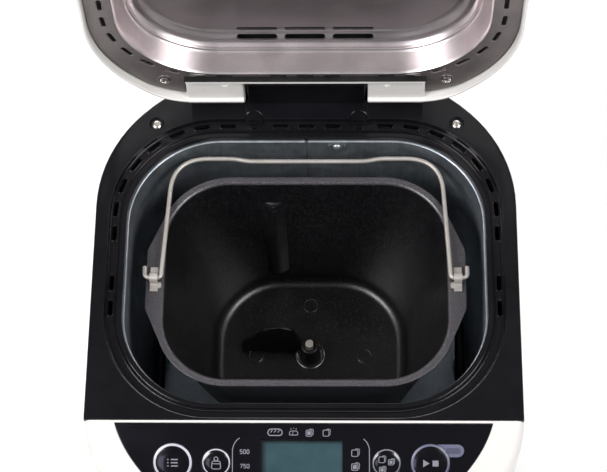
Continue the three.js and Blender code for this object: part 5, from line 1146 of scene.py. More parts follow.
def lens_corners(growth=0):
    """A bar with a round outer end, reaching in under the start button's ring."""
    half = LENS_HALF + growth
    middle = START_X + LENS_LENGTH / 2
    return rectangle(LENS_LENGTH / 2 + growth, LENS_MIDDLE - half, LENS_MIDDLE + half, half, middle)


def lens_form(growth, bottom, top, bite):
    """The bar less the round of the start button."""
    bar = solid(rounded_block(lens_corners(growth), bottom, top, 0.15, 8))
    return cut(bar, post(START_X, START_Y, bite, -4, 2, 64))


def fascia():
    sheet = solid(loft(fascia_levels(soften([(-FASCIA_THICKNESS, 0), (0, 0, 0.35), (0, 0.8)]))))
    holes = []
    for x, y, radius in PLACES.values():
        mouth = radius + 0.2
        hole = [(0, -3), (radius, -3), (radius, -0.2), (mouth, 0.02), (mouth, 1), (0, 1)]
        holes.append(moved(turned(hole), at(x, y)))
    rim = -GAP - 0.2
    window = lofted(DISPLAY_CORNERS, [(-3, -GAP), (-0.2, -GAP), (0.02, rim), (1, rim)], 5)
    return cut(sheet, merged(*holes), window, as_form(lens_form(GAP, -3, 1, LENS_BITE)))


place(fascia(), "fascia", "housing", "black_gloss", ["control_fascia"], matrix=PANEL)
window = rounded_block(DISPLAY_CORNERS, -FASCIA_THICKNESS, 0, 0.2, 6)
place(
    window, "display_glass", "housing", "lcd", ["display_window"], matrix=PANEL, look="black_gloss",
)
cells = rounded_block(
    rectangle((CELLS_RIGHT - CELLS_LEFT) / 2, -36, CELLS_REAR, 0.7, (CELLS_RIGHT + CELLS_LEFT) / 2),
    -0.1, 0.05, 0.03, 3,
)
place(cells, "display_cells", "housing", "lcd", matrix=PANEL)
lens = lens_form(0, -FASCIA_THICKNESS, 0.2, LENS_BITE + GAP)
place(
    lens, "lamp_lens", "housing", "lilac_lens", ["indicator_lens"], matrix=PANEL, look="lilac_ink",
)
lamp = rectangle(4.6, LENS_MIDDLE - 1.9, LENS_MIDDLE + 1.9, 1.2, START_X + 14.4)
lamp = rounded_block(lamp, 0.1, 0.24, 0.03, 6)
place(lamp, "lamp_spot", "housing", "lilac_lens", matrix=PANEL, look="lamp_shade")


def ribbon(path, width, bottom, top, closed=False):
    """A flat printed line of even width through points of the panel."""
    points = [Vector(p) for p in path]
    count = len(points)
    rings = []
    for i, here in enumerate(points):
        before = points[i - 1] if closed or i else here
        after = points[(i + 1) % count] if closed or i < count - 1 else here
        into = (here - before).normalized() if before != here else (after - here).normalized()
        out = (after - here).normalized() if after != here else into
        normal = Vector((-into.y - out.y, into.x + out.x)).normalized()
        reach = width / 2 / max(normal.dot(Vector((-into.y, into.x))), 0.5)
        left, right = here + normal * reach, here - normal * reach
        rings.append([(*left, bottom), (*right, bottom), (*right, top), (*left, top)])
    return loft(rings, loop=closed)


def circle_line(x, y, radius, steps):
    angles = [CIRCLE * k / steps for k in range(steps)]
    return [(x + radius * math.cos(a), y + radius * math.sin(a)) for a in angles]


PRINT = (0.0, 0.06)  # underside and top of the ink


def line(points, width=0.5, closed=False):
    return ribbon(points, width, *PRINT, closed)


def patch(corners):
    return prism(outline(corners, 0, 4), *PRINT)


def slice_icon(x, y, size, filled=False):
    """A slice of bread seen from the front with its side turned away."""
    w, h = size * 0.34, size * 0.42
    face = rectangle(w, y - h, y + h * 0.72, size * 0.12, x - size * 0.1)
    crust = [
        (x - size * 0.05, y + h * 0.98), (x + w * 0.9, y + h), (x + w + size * 0.08, y + h * 0.7),
        (x + w * 0.98 + size * 0.02, y - h * 0.72),
    ]
    forms = [line(outline(face, 0, 3), size * 0.09, True), line(crust, size * 0.08)]
    if filled:
        forms.append(patch(rectangle(w * 0.62, y - h * 0.66, y + h * 0.4, size * 0.06, x - size * 0.1)))
    return merged(*forms)


def loaf_icon(x, y, size):
    """A long loaf with three cuts across its top."""
    h = size * 0.22
    body = [(x - size * 0.5, y - h, h * 0.8), (x + size * 0.5, y - h, h * 0.8),
            (x + size * 0.44, y + h, h), (x - size * 0.44, y + h, h)]
    forms = [line(outline(body, 0, 4), size * 0.07, True)]
    for k in (-1, 0, 1):
        px = x + k * size * 0.24
        slash = [(px - size * 0.05, y - h * 0.1), (px + size * 0.06, y + h * 0.7)]
        forms.append(line(slash, size * 0.06))
    return merged(*forms)


def steam_icon(x, y, size):
    """A round loaf with three dots of steam over it."""
    foot, top = y - size * 0.24, y + size * 0.16
    loaf = [
        (x - size * 0.42, foot, size * 0.1), (x + size * 0.42, foot, size * 0.1),
        (x + size * 0.36, top, size * 0.2), (x - size * 0.36, top, size * 0.2),
    ]
    cut_line = [(x - size * 0.14, y - size * 0.2), (x - size * 0.02, y + size * 0.12)]
    forms = [line(outline(loaf, 0, 4), size * 0.075, True), line(cut_line, size * 0.06)]
    for k in (-1, 0, 1):
        top = y + size * (0.36 if k else 0.44)
        dot = size * 0.05
        forms.append(patch(rectangle(dot, top - dot, top + dot, size * 0.045, x + k * size * 0.25)))
    return merged(*forms)


DIGITS = {  # points on a grid 1 wide and 1.8 high, and whether the line closes
    "0": (
        [(0, 0.25), (0.25, 0), (0.75, 0), (1, 0.25), (1, 1.55), (0.75, 1.8), (0.25, 1.8), (0, 1.55)],
        True,
    ),
    "1": ([(0.2, 1.4), (0.6, 1.8), (0.6, 0)], False),
    "5": (
        [
            (0.95, 1.8), (0.1, 1.8), (0.05, 1.02), (0.7, 1.05), (1, 0.75), (1, 0.25), (0.7, 0),
            (0, 0.05),
        ],
        False,
    ),
    "7": ([(0, 1.8), (1, 1.8), (0.4, 0)], False),
}


def number(text, x, y, height):
    scale = height / 1.8
    forms = []
    for i, digit in enumerate(text):
        points, closed = DIGITS[digit]
        placed = [(x + (px + i * 1.55) * scale, y + (py - 0.9) * scale) for px, py in points]
        forms.append(line(placed, scale * 0.34, closed))
    return merged(*forms)


def panel_print():
    forms = [
        loaf_icon(-17.9, -8.0, 9.5),
        steam_icon(-6.1, -8.2, 6.6),
        slice_icon(4.2, -8.2, 5.4, True),
        slice_icon(15.0, -8.2, 5.4),
        slice_icon(33.3, -21.1, 5.8),
        slice_icon(33.3, -30.1, 5.8, True),
        number("500", -40.2, -20.7, 2.5),
        number("750", -40.2, -30.1, 2.5),
        number("1000", -41.4, -39.4, 2.5),
        line([*quadratic((-40.4, -11.8), (-44.4, -14.2), (-45.2, -20.5), 10), (-45.3, -40.5)], 0.55),
        line([*quadratic((38.2, -12.2), (41.6, -14.6), (42.1, -20.0), 10), (42.1, -40.5)], 0.55),
    ]
    return merged(*forms)


place(panel_print(), "panel_marks", "housing", "button_face", matrix=PANEL, look="print_ink")

# Lilac ink joins the start button's ring to the lamp's bar.
band = solid(prism(outline(lens_corners(), 0, 10), -0.05, 0.15))
cut(band, post(START_X, START_Y, 12.75, -1, 1, 96))
boolean(band, "INTERSECT", post(START_X, START_Y, 13.75, -1, 1, 96))
place(band, "lamp_band", "housing", "lilac_lens", matrix=PANEL, look="lilac_ink")


def domed(radius, face):
    """Height of a button's face at a radius."""
    return BUTTON_RISE - 1.15 * (radius / face) ** 4


def button(radius):
    """A push button with a slightly domed face and a flange under the panel."""
    face, flange = radius - GAP, radius + BUTTON_FLANGE
    profile = [(0, -4.2), (flange, -4.2), (flange, -2.3), (face, -2.3), (face, -0.35)]
    for angle in reversed(quarter(8)):
        r = face * (0.35 + 0.65 * math.sin(angle))
        profile.append((r, domed(r, face)))
    return turned([*profile, (0, BUTTON_RISE)], 72)


def on_dome(form, radius):
    """Lays a flat mark onto a button's domed face."""
    points, faces = form
    return [(x, y, z + domed(math.hypot(x, y), radius - GAP)) for x, y, z in points], faces


def list_icon():
    rows = [line([(-1, y), (3.4, y)], 0.8) for y in (2.1, 0, -2.1)]
    dots = [patch(rectangle(0.45, y - 0.45, y + 0.45, 0.4, -2.9)) for y in (2.1, 0, -2.1)]
    return merged(*rows, *dots)


def weight_icon():
    block_corners = [(-3.0, -4.0, 1.1), (3.0, -4.0, 1.1), (2.5, 1.1, 0.9), (-2.5, 1.1, 0.9)]
    return merged(
        line(outline(block_corners, 0, 4), 0.55, True),
        line([(-2.6, -0.6), (2.6, -0.6)], 0.5),
        line(circle_line(0, 2.6, 1.25, 20), 0.55, True),
    )


def crust_icon():
    slices = ((-2.6, 2.6, 5.2), (3.2, 1.0, 4.8, True), (-2.4, -4.0, 5.0, True))
    return merged(*[slice_icon(*values) for values in slices])


def play_stop_icon():
    return merged(
        prism([(-4.6, -2.4), (-0.6, 0), (-4.6, 2.4)], *PRINT),
        patch(rectangle(1.9, -1.9, 1.9, 0.3, 3.2)),
    )


def sign_icon(up):
    bars = [line([(-1.4, 0), (1.4, 0)], 0.6)]
    if up:
        bars.append(line([(0, 0.3), (0, 1.4)], 0.6))
        bars.append(line([(0, -1.4), (0, -0.3)], 0.6))
    return merged(*bars)


MARKS = {
    "menu_button": (list_icon(), 1.5, "ring_ink"),
    "weight_button": (weight_icon(), 0.8, "ring_ink"),
    "crust_button": (crust_icon(), 0.7, "print_ink"),
    "start_button": (play_stop_icon(), 1.4, "lilac_ink"),
    "timer_down_button": (sign_icon(False), 0.5, "print_ink"),
    "timer_up_button": (sign_icon(True), 0.5, "print_ink"),
}
for name, (x, y, radius) in PLACES.items():
    body = name.replace("button", "key")
    here = PANEL @ at(x, y)
    place(button(radius), name + "_cap", body, "button_face", [name], matrix=here, sharp=50)
    icon, width, ink = MARKS[name]
    place(on_dome(icon, radius), name + "_mark", body, "button_face", matrix=here, look="print_ink")
    face = radius - GAP
    edge = ((0.05, -0.1), (0.05, 0.02), (width / 2, 0.09), (width, 0.06), (width, -0.1))
    laid = [(face - inset, z + domed(face - inset, face)) for inset, z in edge]
    place(turned(laid, 96), name + "_ring", body, "button_face", matrix=here, look=ink, sharp=50)

# ---------------------------------------------------------------- housing and base

GLAND_X, _, GLAND_Z = centre("cord_gland")
GLAND_HOLE = 6.7
TO_REAR = Matrix.Rotation(-math.pi / 2, 4, "X")  # height runs along +Y


def housing():
    plinth = [
        (SHELL_BOTTOM + PLINTH_HEIGHT * k / 10, PLINTH_INSET * (1 - k / 10) ** 2) for k in range(11)
    ]
    outside = [*plinth, (120, 0), (DECK_TOP, 0)]
    inside = [(z, inset + BODY_WALL) for z, inset in reversed(outside)]
    shell = solid(loft(levels(BODY_CORNERS, [*outside, *inside]), loop=True))
    seam = DECK_BOTTOM - GAP
    drop = (300 - DECK_FRONT) * math.tan(PANEL_SLOPE)
    above = [(-DECK_FRONT, seam), (300, seam), (300, 400), (-300, 400), (-300, seam - drop)]
    hole = moved(post(0, 0, GLAND_HOLE, -20, 20, 40), at(GLAND_X, DECK_REAR, GLAND_Z) @ TO_REAR)
    return cut(shell, moved(prism(above, -200, 200), YZ_TO_XY), hole)


place(housing(), "housing_shell", "housing", "white_plastic", ["body_shell"])

gland = [
    (3.6, -5.8), (8.0, -5.8), (8.0, -2.8), (6.4, -2.8), (6.4, 0.3), (9.2, 0.3), (9.5, 0.6),
    (9.5, 2.1), (9.1, 2.9), (8.3, 3.3), (5.2, 3.3), (4.4, 3.1), (3.6, 2.4),
]
gland_seat = MACHINE @ at(GLAND_X, DECK_REAR, GLAND_Z) @ TO_REAR
place(turned(gland, 48), "gland", "housing", "rubber", ["cord_gland"], matrix=gland_seat)

FEET = {
    f"foot_{end}_{side}": centre(f"foot_{end}_{side}")[:2]
    for end in ("front", "rear") for side in ("left", "right")
}
BASE_BOTTOM = cad("base_plate")[0].z
BASE_TOP = BASE_BOTTOM + 2.4


def base():
    plate = solid(
        lofted(BODY_CORNERS, soften([(BASE_BOTTOM, 10), (BASE_BOTTOM, 9, 0.6), (BASE_TOP, 9)]))
    )
    low, high, outside, inside = BASE_TOP - 1, BASE_TOP + 3, 11.5, 13.5
    rim = [(low, outside), (high, outside), (high, inside), (low, inside)]
    join(plate, loft(levels(BODY_CORNERS, rim), loop=True))
    slot = [(0, -0.4), (BASE_BOTTOM, -0.4), (BASE_BOTTOM + 0.5, 0), (20, 0)]
    slots = []
    for i in range(6):
        x = (i - 2.5) * 12
        corners = rectangle(2, DECK_REAR - 96, DECK_REAR - 62, 1.9, x)
        slots.append(lofted(corners, slot, 5))
    stems = [post(x, y, 4.3, 0, 20, 32) for x, y in FEET.values()]
    return cut(plate, merged(*slots), merged(*stems))


place(base(), "base_cover", "housing", "inner_plastic", ["base_plate"])
FOOT_HEIGHT = BASE_BOTTOM - GAP
STEM_TOP = BASE_TOP + 2
foot = [
    (0, 0.5), (4.5, 0.5), (4.9, 0), (6.6, 0), (7.0, 0.5), (7.4, 0), (8.0, 0), (8.7, 0.5), (9, 1.3),
    (9, FOOT_HEIGHT - 0.4), (8.6, FOOT_HEIGHT), (4, FOOT_HEIGHT), (4, STEM_TOP), (0, STEM_TOP),
]
for name, (x, y) in FEET.items():
    here = MACHINE @ at(x, y)
    place(turned(foot, 48), name + "_pad", "housing", "rubber", [name], matrix=here)

# ---------------------------------------------------------------- oven

ELEMENT_TAIL_X = 16
TAIL_HOLE = 3.8
PROBE_HOLE = 3.3
DRIVE_HOLE = 18
RIVET_X = 20.6
RIVET_Z = OVEN_TOP - 8.2
TO_FRONT = Matrix.Rotation(math.pi / 2, 4, "X")


def chamber():
    rise = OVEN_FLOOR + OVEN_FLOOR_RADIUS
    fillet = [
        (rise - OVEN_FLOOR_RADIUS * math.cos(a), OVEN_DRAFT + OVEN_FLOOR_RADIUS * (1 - math.sin(a)))
        for a in quarter(8)
    ]
    lip = [
        (rise + 1, OVEN_DRAFT), (OVEN_TOP - 2.8, 0, 0.8), (OVEN_TOP - 1.6, 1.2, 0.5),
        (OVEN_TOP - 0.4, 1.3, 0.4), (OVEN_TOP, 0.4, 0.3), (OVEN_TOP + 1, 0.3),
    ]
    inner = [*fillet, *soften(lip)]
    floor_edge = OVEN_DRAFT + OVEN_FLOOR_RADIUS
    outer = [
        (OVEN_FLOOR - OVEN_SHEET, floor_edge + 1),
        (OVEN_FLOOR - OVEN_SHEET * 0.9, floor_edge - OVEN_SHEET),
        *[(z, inset - OVEN_SHEET) for z, inset in fillet[1:]],
        (OVEN_TOP, -OVEN_SHEET),
    ]
    tank = solid(lofted(OVEN_CORNERS, outer))
    join(tank, lofted(OVEN_CORNERS, [(OVEN_TOP - OVEN_SHEET, -OVEN_FLANGE), (OVEN_TOP, -OVEN_FLANGE)]))
    wall = OVEN_HALF_DEPTH
    slit = ((-0.3, -5), (0.3, -5), (0.3, 0.35), (-0.3, 0.35))
    ends = ((rise, OVEN_DRAFT), (OVEN_TOP + 2, 0))
    seam = loft([[(x, wall + y - lean, z) for x, y in slit] for z, lean in ends])
    notch = [(-1.6, wall - 1), (1.6, wall - 1), (0.7, wall + 1.9), (-0.7, wall + 1.9)]
    notch = prism(notch, OVEN_TOP - 1.7, OVEN_TOP + 1)
    tails = [
        moved(post(0, 0, TAIL_HOLE, -12, 12, 32), at(s * ELEMENT_TAIL_X, wall, ELEMENT_Z) @ TO_REAR)
        for s in (-1, 1)
    ]
    probe = moved(post(0, 0, PROBE_HOLE, -12, 12, 32), at(SENSOR_X, wall, SENSOR_Z) @ TO_REAR)
    cut(tank, lofted(OVEN_CORNERS, inner), seam, notch, post(0, 0, DRIVE_HOLE, 40, 60, 64))
    rivet = [
        (0, -1), (6.4, -1), (6.4, 0.1), (5.6, 0.6), (4.6, 0.6), (3.9, 0.2), (3.2, 0.5), (2.9, 1.4),
        (1.7, 2.2), (0, 2.3),
    ]
    join(tank, moved(turned(rivet, 48), at(RIVET_X, wall - 0.3, RIVET_Z) @ TO_FRONT))
    return cut(tank, merged(*tails), probe)


element_low, element_high = cad("heating_element")
ELEMENT_RADIUS = (element_high.z - element_low.z) / 2
ELEMENT_Z = (element_high.z + element_low.z) / 2
ELEMENT_SIDE = element_high.x - ELEMENT_RADIUS
ELEMENT_FRONT = element_low.y + ELEMENT_RADIUS
SENSOR_X, _, SENSOR_Z = centre("temperature_sensor")

place(chamber(), "oven_tank", "housing", "galvanised", ["oven_chamber"])

half_element = [
    (ELEMENT_TAIL_X, element_high.y - 0.6, ELEMENT_Z), (ELEMENT_TAIL_X, -ELEMENT_FRONT, ELEMENT_Z),
    (ELEMENT_SIDE, -ELEMENT_FRONT, ELEMENT_Z), (ELEMENT_SIDE, ELEMENT_FRONT, ELEMENT_Z),
]
element_path = half_element + [(-x, y, z) for x, y, z in reversed(half_element)]
element_bends = [0, 6, 52, 52]
heater = tube(bent(element_path, element_bends + element_bends[::-1], 14), ELEMENT_RADIUS, 24)
place(heater, "heater", "housing", "dark_steel", ["heating_element"])

seat_low, seat_high = cad("pan_seat")
SEAT_RADIUS, SEAT_FOOT, SEAT_TOP = seat_high.x, seat_low.z, seat_high.z
seat = [
    (20, SEAT_FOOT), (SEAT_RADIUS, SEAT_FOOT), (SEAT_RADIUS, SEAT_TOP - 0.5),
    (SEAT_RADIUS - 0.5, SEAT_TOP), (SEAT_RADIUS - 1.9, SEAT_TOP),
    (SEAT_RADIUS - 2.4, SEAT_TOP - 0.6), (SEAT_RADIUS - 2.4, SEAT_FOOT + 3),
    (SEAT_RADIUS - 4.4, SEAT_FOOT + 1.5), (20, SEAT_FOOT + 1.5),
]
place(turned(seat, 96), "seat_ring", "housing", "bright_steel", ["pan_seat"])

# ---------------------------------------------------------------- bread pan


def pan_rings(profile, steps=QUARTER):
    """Rings of the pan's outline from (height, drop below the rim, growth)."""
    rings = []
    for z, drop, grow in profile:
        share = drop / PAN_DEPTH
        corners = rectangle(
            PAN_HALF_WIDTH - PAN_SIDE_DRAFT * share + grow,
            -PAN_HALF_DEPTH + PAN_END_DRAFT * share - grow,
            PAN_HALF_DEPTH - PAN_END_DRAFT * share + grow,
            PAN_RADIUS + (PAN_FLOOR_RADIUS - PAN_RADIUS) * share + grow,
        )
        rings.append([(x, y, z) for x, y in outline(corners, 0, steps)])
    return rings


def pan_rib():
    """The upright rib on the rear wall, leaning back with it and fading into it at the sides."""
    rings = []
    middle, foot, top, width, rise = -24, 14, 122, 8, 4
    edge = width + 2
    lean = PAN_END_DRAFT / PAN_DEPTH
    for k in range(25):
        t = k / 24
        z = foot + (top - foot) * (1 - math.cos(math.pi * t)) / 2
        end = min(z - foot, top - z)
        round_off = math.sqrt(max(0.0, 1 - max(0.0, 1 - end / width) ** 2))
        y = PAN_HALF_DEPTH - PAN_END_DRAFT + lean * z
        ring = []
        for i in range(33):
            across = i / 16 - 1
            swell = (0.5 + 0.5 * math.cos(math.pi * across)) ** 0.8
            out = (rise + 0.6) * swell * round_off
            ring.append((middle + across * edge, y + 0.6 - out, PAN_FLOOR + z))
        ring += [(middle + side * edge, y + 3, PAN_FLOOR + z) for side in (1, -1)]
        rings.append(ring)
    return loft(rings)


def pan():
    fillet = [
        (PAN_FILLET * (1 - math.cos(a)), -PAN_FILLET * (1 - math.sin(a)))
        for a in quarter(10)
    ]
    inner = [(PAN_FLOOR + up, PAN_DEPTH - up, grow) for up, grow in fillet]
    outer = [
        (PAN_FLOOR + up - PAN_SHEET * (1 - up / PAN_FILLET), PAN_DEPTH - up, grow + PAN_SHEET)
        for up, grow in fillet
    ]
    lip = [
        (PAN_RIM - 2.4 * (1 - math.sin(a)), 2.4 * (1 - math.sin(a)), 2.4 * (1 - math.cos(a)))
        for a in quarter(7)
    ]
    inner += [*lip, (PAN_RIM + 1, 0, 2.6)]
    outer += [(PAN_RIM - 0.8, 0.8, PAN_SHEET + 1.2)]
    rim_corners = rectangle(PAN_HALF_WIDTH, -PAN_HALF_DEPTH, PAN_HALF_DEPTH, PAN_RADIUS)
    under = PAN_RIM - PAN_SHEET
    edge = soften([(under, 0.3), (under, 0, 0.2), (PAN_RIM, 0, 0.8), (PAN_RIM, 1.3)])
    flange = levels(rim_corners, [(z, inset - PAN_FLANGE) for z, inset in edge])
    root_x, root_y = PAN_HALF_WIDTH - PAN_FLANGE, PAN_HALF_DEPTH - 8.2
    ears = [
        (-PAN_EAR, -21, 4), (-root_x, -root_y, 20), (root_x, -root_y, 20), (PAN_EAR, -21, 4),
        (PAN_EAR, 21, 4), (root_x, root_y, 20), (-root_x, root_y, 20), (-PAN_EAR, 21, 4),
    ]
    body = join(solid(loft(pan_rings(outer))), loft(flange), lofted(ears, edge, 12))
    cut(body, loft(pan_rings(inner)))
    join(body, as_form(boolean(solid(pan_rib()), "INTERSECT", loft(pan_rings(outer)))))
    boss = [
        (0, -0.8), (6.3, -0.8), (6.2, 0), (5.8, 0.2), (5.5, 0.65), (5.1, 0.8), (4.7, 0.75),
        (4.3, 0.45), (0, 0.35),
    ]
    bosses = []
    for angle in (0, 90, 180, 270):
        a = math.radians(angle)
        here = at(BOSS_ORBIT * math.cos(a), BOSS_ORBIT * math.sin(a), PAN_FLOOR)
        bosses.append(moved(turned(boss, 40), here))
    join(body, merged(*bosses))
    return cut(body, post(0, 0, SHAFT_BORE, PAN_FLOOR - 5, PAN_FLOOR + 5, 48))


place(pan(), "pan_shell", "pan", "nonstick", ["pan_body"], sharp=40)

base_low, base_high = cad("pan_base")
RIM_BASE, BASE_SKIRT, BASE_PLATE = base_high.x, base_low.z, base_high.z
HUB_FOOT = shaft_low.z + 4.6
pan_foot = [
    (SHAFT_BORE, HUB_FOOT), (7.6, HUB_FOOT), (8, HUB_FOOT + 0.4), (8, BASE_PLATE - 4),
    (9, BASE_PLATE - 3), (RIM_BASE - 7, BASE_PLATE - 3), (RIM_BASE - 6, BASE_PLATE - 4),
    (RIM_BASE - 6, BASE_SKIRT + 0.6), (RIM_BASE - 5.4, BASE_SKIRT), (RIM_BASE - 0.6, BASE_SKIRT),
    (RIM_BASE, BASE_SKIRT + 0.6), (RIM_BASE, BASE_PLATE - 0.6), (RIM_BASE - 0.6, BASE_PLATE),
    (SHAFT_BORE, BASE_PLATE),
]
place(turned(pan_foot, 96), "pan_foot", "pan", "bright_steel", ["pan_base"])
collar_low, collar_high = cad("shaft_collar")
COLLAR, COLLAR_TOP = collar_high.x, collar_high.z
collar = [
    (SHAFT_BORE, collar_low.z), (COLLAR, collar_low.z), (COLLAR, COLLAR_TOP - 0.8),
    (COLLAR - 0.2, COLLAR_TOP - 0.25), (COLLAR - 0.7, COLLAR_TOP), (COLLAR - 1.1, COLLAR_TOP - 0.1),
    (COLLAR - 1.6, COLLAR_TOP - 0.6), (COLLAR - 2.1, COLLAR_TOP - 1.2),
    (SHAFT_BORE, COLLAR_TOP - 1.3),
]
place(turned(collar, 72), "collar", "pan", "bright_steel", ["shaft_collar"], look="collar_steel")


def shaft():
    profile = [
        (0, shaft_low.z), (SHAFT_RADIUS - 0.3, shaft_low.z), (SHAFT_RADIUS, shaft_low.z + 0.3),
        (SHAFT_RADIUS, SHAFT_TOP - 0.6), (SHAFT_RADIUS - 0.25, SHAFT_TOP - 0.15),
        (SHAFT_RADIUS - 0.7, SHAFT_TOP), (0, SHAFT_TOP),
    ]
    bar = solid(turned(profile, 64))
    return cut(bar, block(SHAFT_FLAT, 20, -20, 20, SHAFT_TOP - 20, SHAFT_TOP + 1))


place(shaft(), "kneader_shaft", "pan_spindle", "bright_steel", ["pan_shaft"], look="wire_steel")


def wings():
    low, high = cad("pan_coupling")
    bars = solid(rounded_block(rectangle(high.x, -3, 3, 2), low.z, high.z, 0.5, 6))
    hub = [(0, low.z), (7.6, low.z), (8, low.z + 0.4), (8, high.z - 0.4), (7.6, high.z), (0, high.z)]
    join(bars, turned(hub, 48))
    return cut(bars, post(0, 0, SHAFT_BORE, low.z - 1, high.z + 1, 40))


place(wings(), "wing_coupling", "pan_spindle", "dark_steel", ["pan_coupling"])


def paddle():
    hub = [
        (0, 0), (7.9, 0), (8.2, 0.3), (8.0, 2.0), (6.45, 17.4), (6.2, 18.1), (5.6, 18.5),
        (4.7, 18.5), (4.4, 18.2), (0, 18.2),
    ]
    side = [
        (0, 0.2), (-49.6, 0.2), (-50, 0.6), (-50, 4.2), (-34.4, 24.0), (-33.7, 24.7),
        *quadratic((-33.2, 24.8), (-23.6, 31.6), (-12.0, 24.9), 12), (-11.6, 24.4),
        (-6.3, 9.25), (0, 9.25),
    ]
    section = soften([(0, 1.0), (0, 0, 0.25), (1, 0, 0.25), (1, 1.0)], 4)
    rings = []
    middle = Vector((-24, 10))
    for share, inset in section:
        ring = []
        for x, z in side:
            out = Vector((x, z)) - middle
            shrunk = middle + out * (1 - inset * 0.8 / max(out.length, 8))
            thick = 4.5 - 2.4 * max(0.0, min(1.0, (shrunk.y - 6) / 18))
            ring.append((shrunk.x, 2.7 + thick * (1 - share) + 0.25 * shrunk.y, shrunk.y))
        rings.append(ring)
    body = join(solid(turned(hub, 64)), loft(rings))
    bore = solid(post(0, 0, SHAFT_BORE, -2, 30, 48))
    flat = block(SHAFT_FLAT + GAP, 20, -20, 20, SHAFT_TOP - 20 + GAP - PADDLE_BOTTOM, 40)
    return cut(body, as_form(cut(bore, flat)))


seat = MACHINE @ at(0, 0, PADDLE_BOTTOM)
place(
    paddle(), "paddle_blade", "paddle", "paddle_coating", ["kneading_paddle"], matrix=seat, sharp=40
)

arm_x = PAN_HALF_WIDTH + 2.2
half_bail = [
    (HOOK_X, HANDLE_PIVOT_Y + 8.2), (HOOK_X, HANDLE_PIVOT_Y), (arm_x, HANDLE_PIVOT_Y),
    (arm_x - 5.3, GRIP_Y), (50, GRIP_Y), (40, GRIP_Y - 2),
]
half_bail = [(x, y, HANDLE_Z) for x, y in half_bail]
bail = half_bail + [(-x, y, z) for x, y, z in reversed(half_bail)]
bends = [0, 3.6, 2.8, 24, 4.5, 4.5]
wire = tube(bent(bail, bends + bends[::-1], 12), WIRE, 20)
place(wire, "bail_wire", "bail", "bright_steel", ["handle"], look="wire_steel")


def bracket(side):
    name = "handle_bracket_left" if side < 0 else "handle_bracket_right"
    low, high = cad(name)
    foot, sheet = low.z, 1.4
    inside, outside = 1.8, 3.2
    top, y0, axle = foot + sheet, HANDLE_PIVOT_Y, HANDLE_Z
    section = [
        (low.y, foot, 0.2), (y0 - inside, foot, 0.2), (y0 - inside, axle + inside, inside - 0.05),
        (y0 + inside, axle + inside, inside - 0.05), (y0 + inside, foot, 0.2), (high.y, foot, 0.2),
        (high.y, top, 0.5), (y0 + outside, top, 0.6), (y0 + outside, axle + outside, outside - 0.1),
        (y0 - outside, axle + outside, outside - 0.1), (y0 - outside, top, 0.6), (low.y, top, 0.5),
    ]
    strap = solid(moved(rounded_block(section, low.x, high.x, 0.25, 8), YZ_TO_XY))
    inner = low.x if side > 0 else high.x
    tab = rectangle(2.2, low.y + 2.2, low.y + 6.4, 1.2, inner)
    join(strap, rounded_block(tab, foot, top - 0.05, 0.2, 6))
    return strap, name


for side in (-1, 1):
    strap, name = bracket(side)
    place(strap, name + "_strap", "pan", "bright_steel", [name], look="wire_steel")

# ---------------------------------------------------------------- drive

dogs_high = cad("drive_coupling")[1]
DISC_RADIUS = dogs_high.x
DRIVE_DISC = dogs_high.z - 8


def motor_dog():
    low, high = cad("drive_coupling")
    disc, radius = DRIVE_DISC, DISC_RADIUS
    profile = [
        (0, low.z), (8.7, low.z), (9, low.z + 0.3), (9, disc), (radius - 0.5, disc),
        (radius, disc + 0.5), (radius, disc + 2.5), (radius - 0.5, disc + 3), (0, disc + 3),
    ]
    body = solid(turned(profile, 64))
    for side in (-1, 1):
        dog = [(-4, side * 8, 0.8), (4, side * 8, 0.8), (4, side * 13.5, 0.8), (-4, side * 13.5, 0.8)]
        if side < 0:
            dog.reverse()
        join(body, rounded_block(dog, disc + 2, high.z, 0.5, 6))
    return cut(body, post(0, 0, 4.3, low.z - 1, disc + 1.6, 40))


place(motor_dog(), "drive_dogs", "drive", "dark_steel", ["drive_coupling"])

# ---------------------------------------------------------------- nodes that keep their CAD shape

KEPT = {
    "bright_steel": (
        "hinge_pin_left", "hinge_pin_right", "temperature_sensor", "spindle", "spindle_bearing",
    ),
    "dark_steel": ("spindle_pulley", "motor_pulley"),
    "rubber": ("drive_belt",),
    "galvanised": ("motor", "chassis", "element_support_left", "element_support_right"),
    "circuit_board": ("power_board", "control_board"),
    "inner_plastic": ("display_module",),
}
for look, nodes in KEPT.items():
    for node in nodes:
        kept = bpy.data.objects[node].data
        kept.materials.clear()
        kept.materials.append(LOOKS[look])

# ---------------------------------------------------------------- camera, light and floor

scene = bpy.context.scene
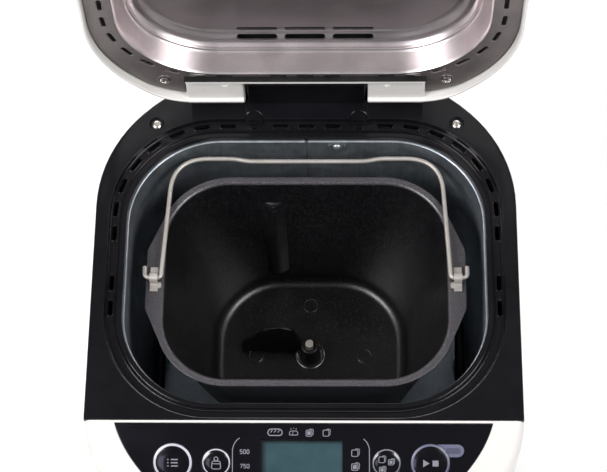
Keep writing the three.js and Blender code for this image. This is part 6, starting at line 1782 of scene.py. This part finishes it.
# The photo's camera, worked out from the points that the photo shows.
CAMERA_LENS = 113.2022
CAMERA_PLACE = (0.0319706, -0.5029748, 1.3924918)
CAMERA_TURN = (23.96075, 1.374165, 0.610883)  # degrees

camera_data = bpy.data.cameras.new("camera")
camera_data.sensor_width = 36
camera_data.lens = CAMERA_LENS
camera = bpy.data.objects.new("camera", camera_data)
camera.location = CAMERA_PLACE
camera.rotation_euler = [math.radians(a) for a in CAMERA_TURN]
scene.collection.objects.link(camera)
scene.camera = camera


def softbox(name, place_at, aim, size, power, colour=(1, 1, 1)):
    data = bpy.data.lights.new(name, "AREA")
    data.shape = "RECTANGLE"
    data.size, data.size_y = size
    data.energy = power
    data.color = colour
    lamp = bpy.data.objects.new(name, data)
    lamp.location = place_at
    direction = Vector(aim) - Vector(place_at)
    lamp.rotation_euler = direction.to_track_quat("-Z", "Y").to_euler()
    scene.collection.objects.link(lamp)


softbox("box_left", (-1.12, -0.5, 1.5), (0, 0, 0.2), (0.85, 0.85), 34)
softbox("box_right", (1.12, -0.5, 1.5), (0, 0, 0.2), (0.85, 0.85), 27)
softbox("box_edge", (0.0, 1.15, 1.95), (0, 0, 0.3), (0.6, 0.3), 4.5)
softbox("box_sheen", (-0.62, -1.32, 1.42), (-0.1, -0.15, 0.28), (0.4, 0.4), 1.0, (0.78, 0.74, 1))
softbox("box_rear", (0.0, 2.4, 1.5), (0, 0.9, 0.0), (2.4, 0.8), 42)

world = bpy.data.worlds.new("studio")
world.use_nodes = True
background = world.node_tree.nodes["Background"].inputs
background["Color"].default_value = (1, 1, 1, 1)
background["Strength"].default_value = 0.08
scene.world = world

floor = solid(block(-4000, 4000, -4000, 4000, -30, -0.2))
floor.name = "floor"
floor.data.transform(Matrix.Scale(MILLIMETRE, 4))
finish("floor", (0.9, 0.9, 0.9), (0.92, 0.92, 0.92), (0.8, 0.9), mottle=3, bump=0.01)
floor.data.materials.append(LOOKS["floor"])
floor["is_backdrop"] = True

scene.view_settings.view_transform = "Standard"
scene.cycles.use_denoising = True

low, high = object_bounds()
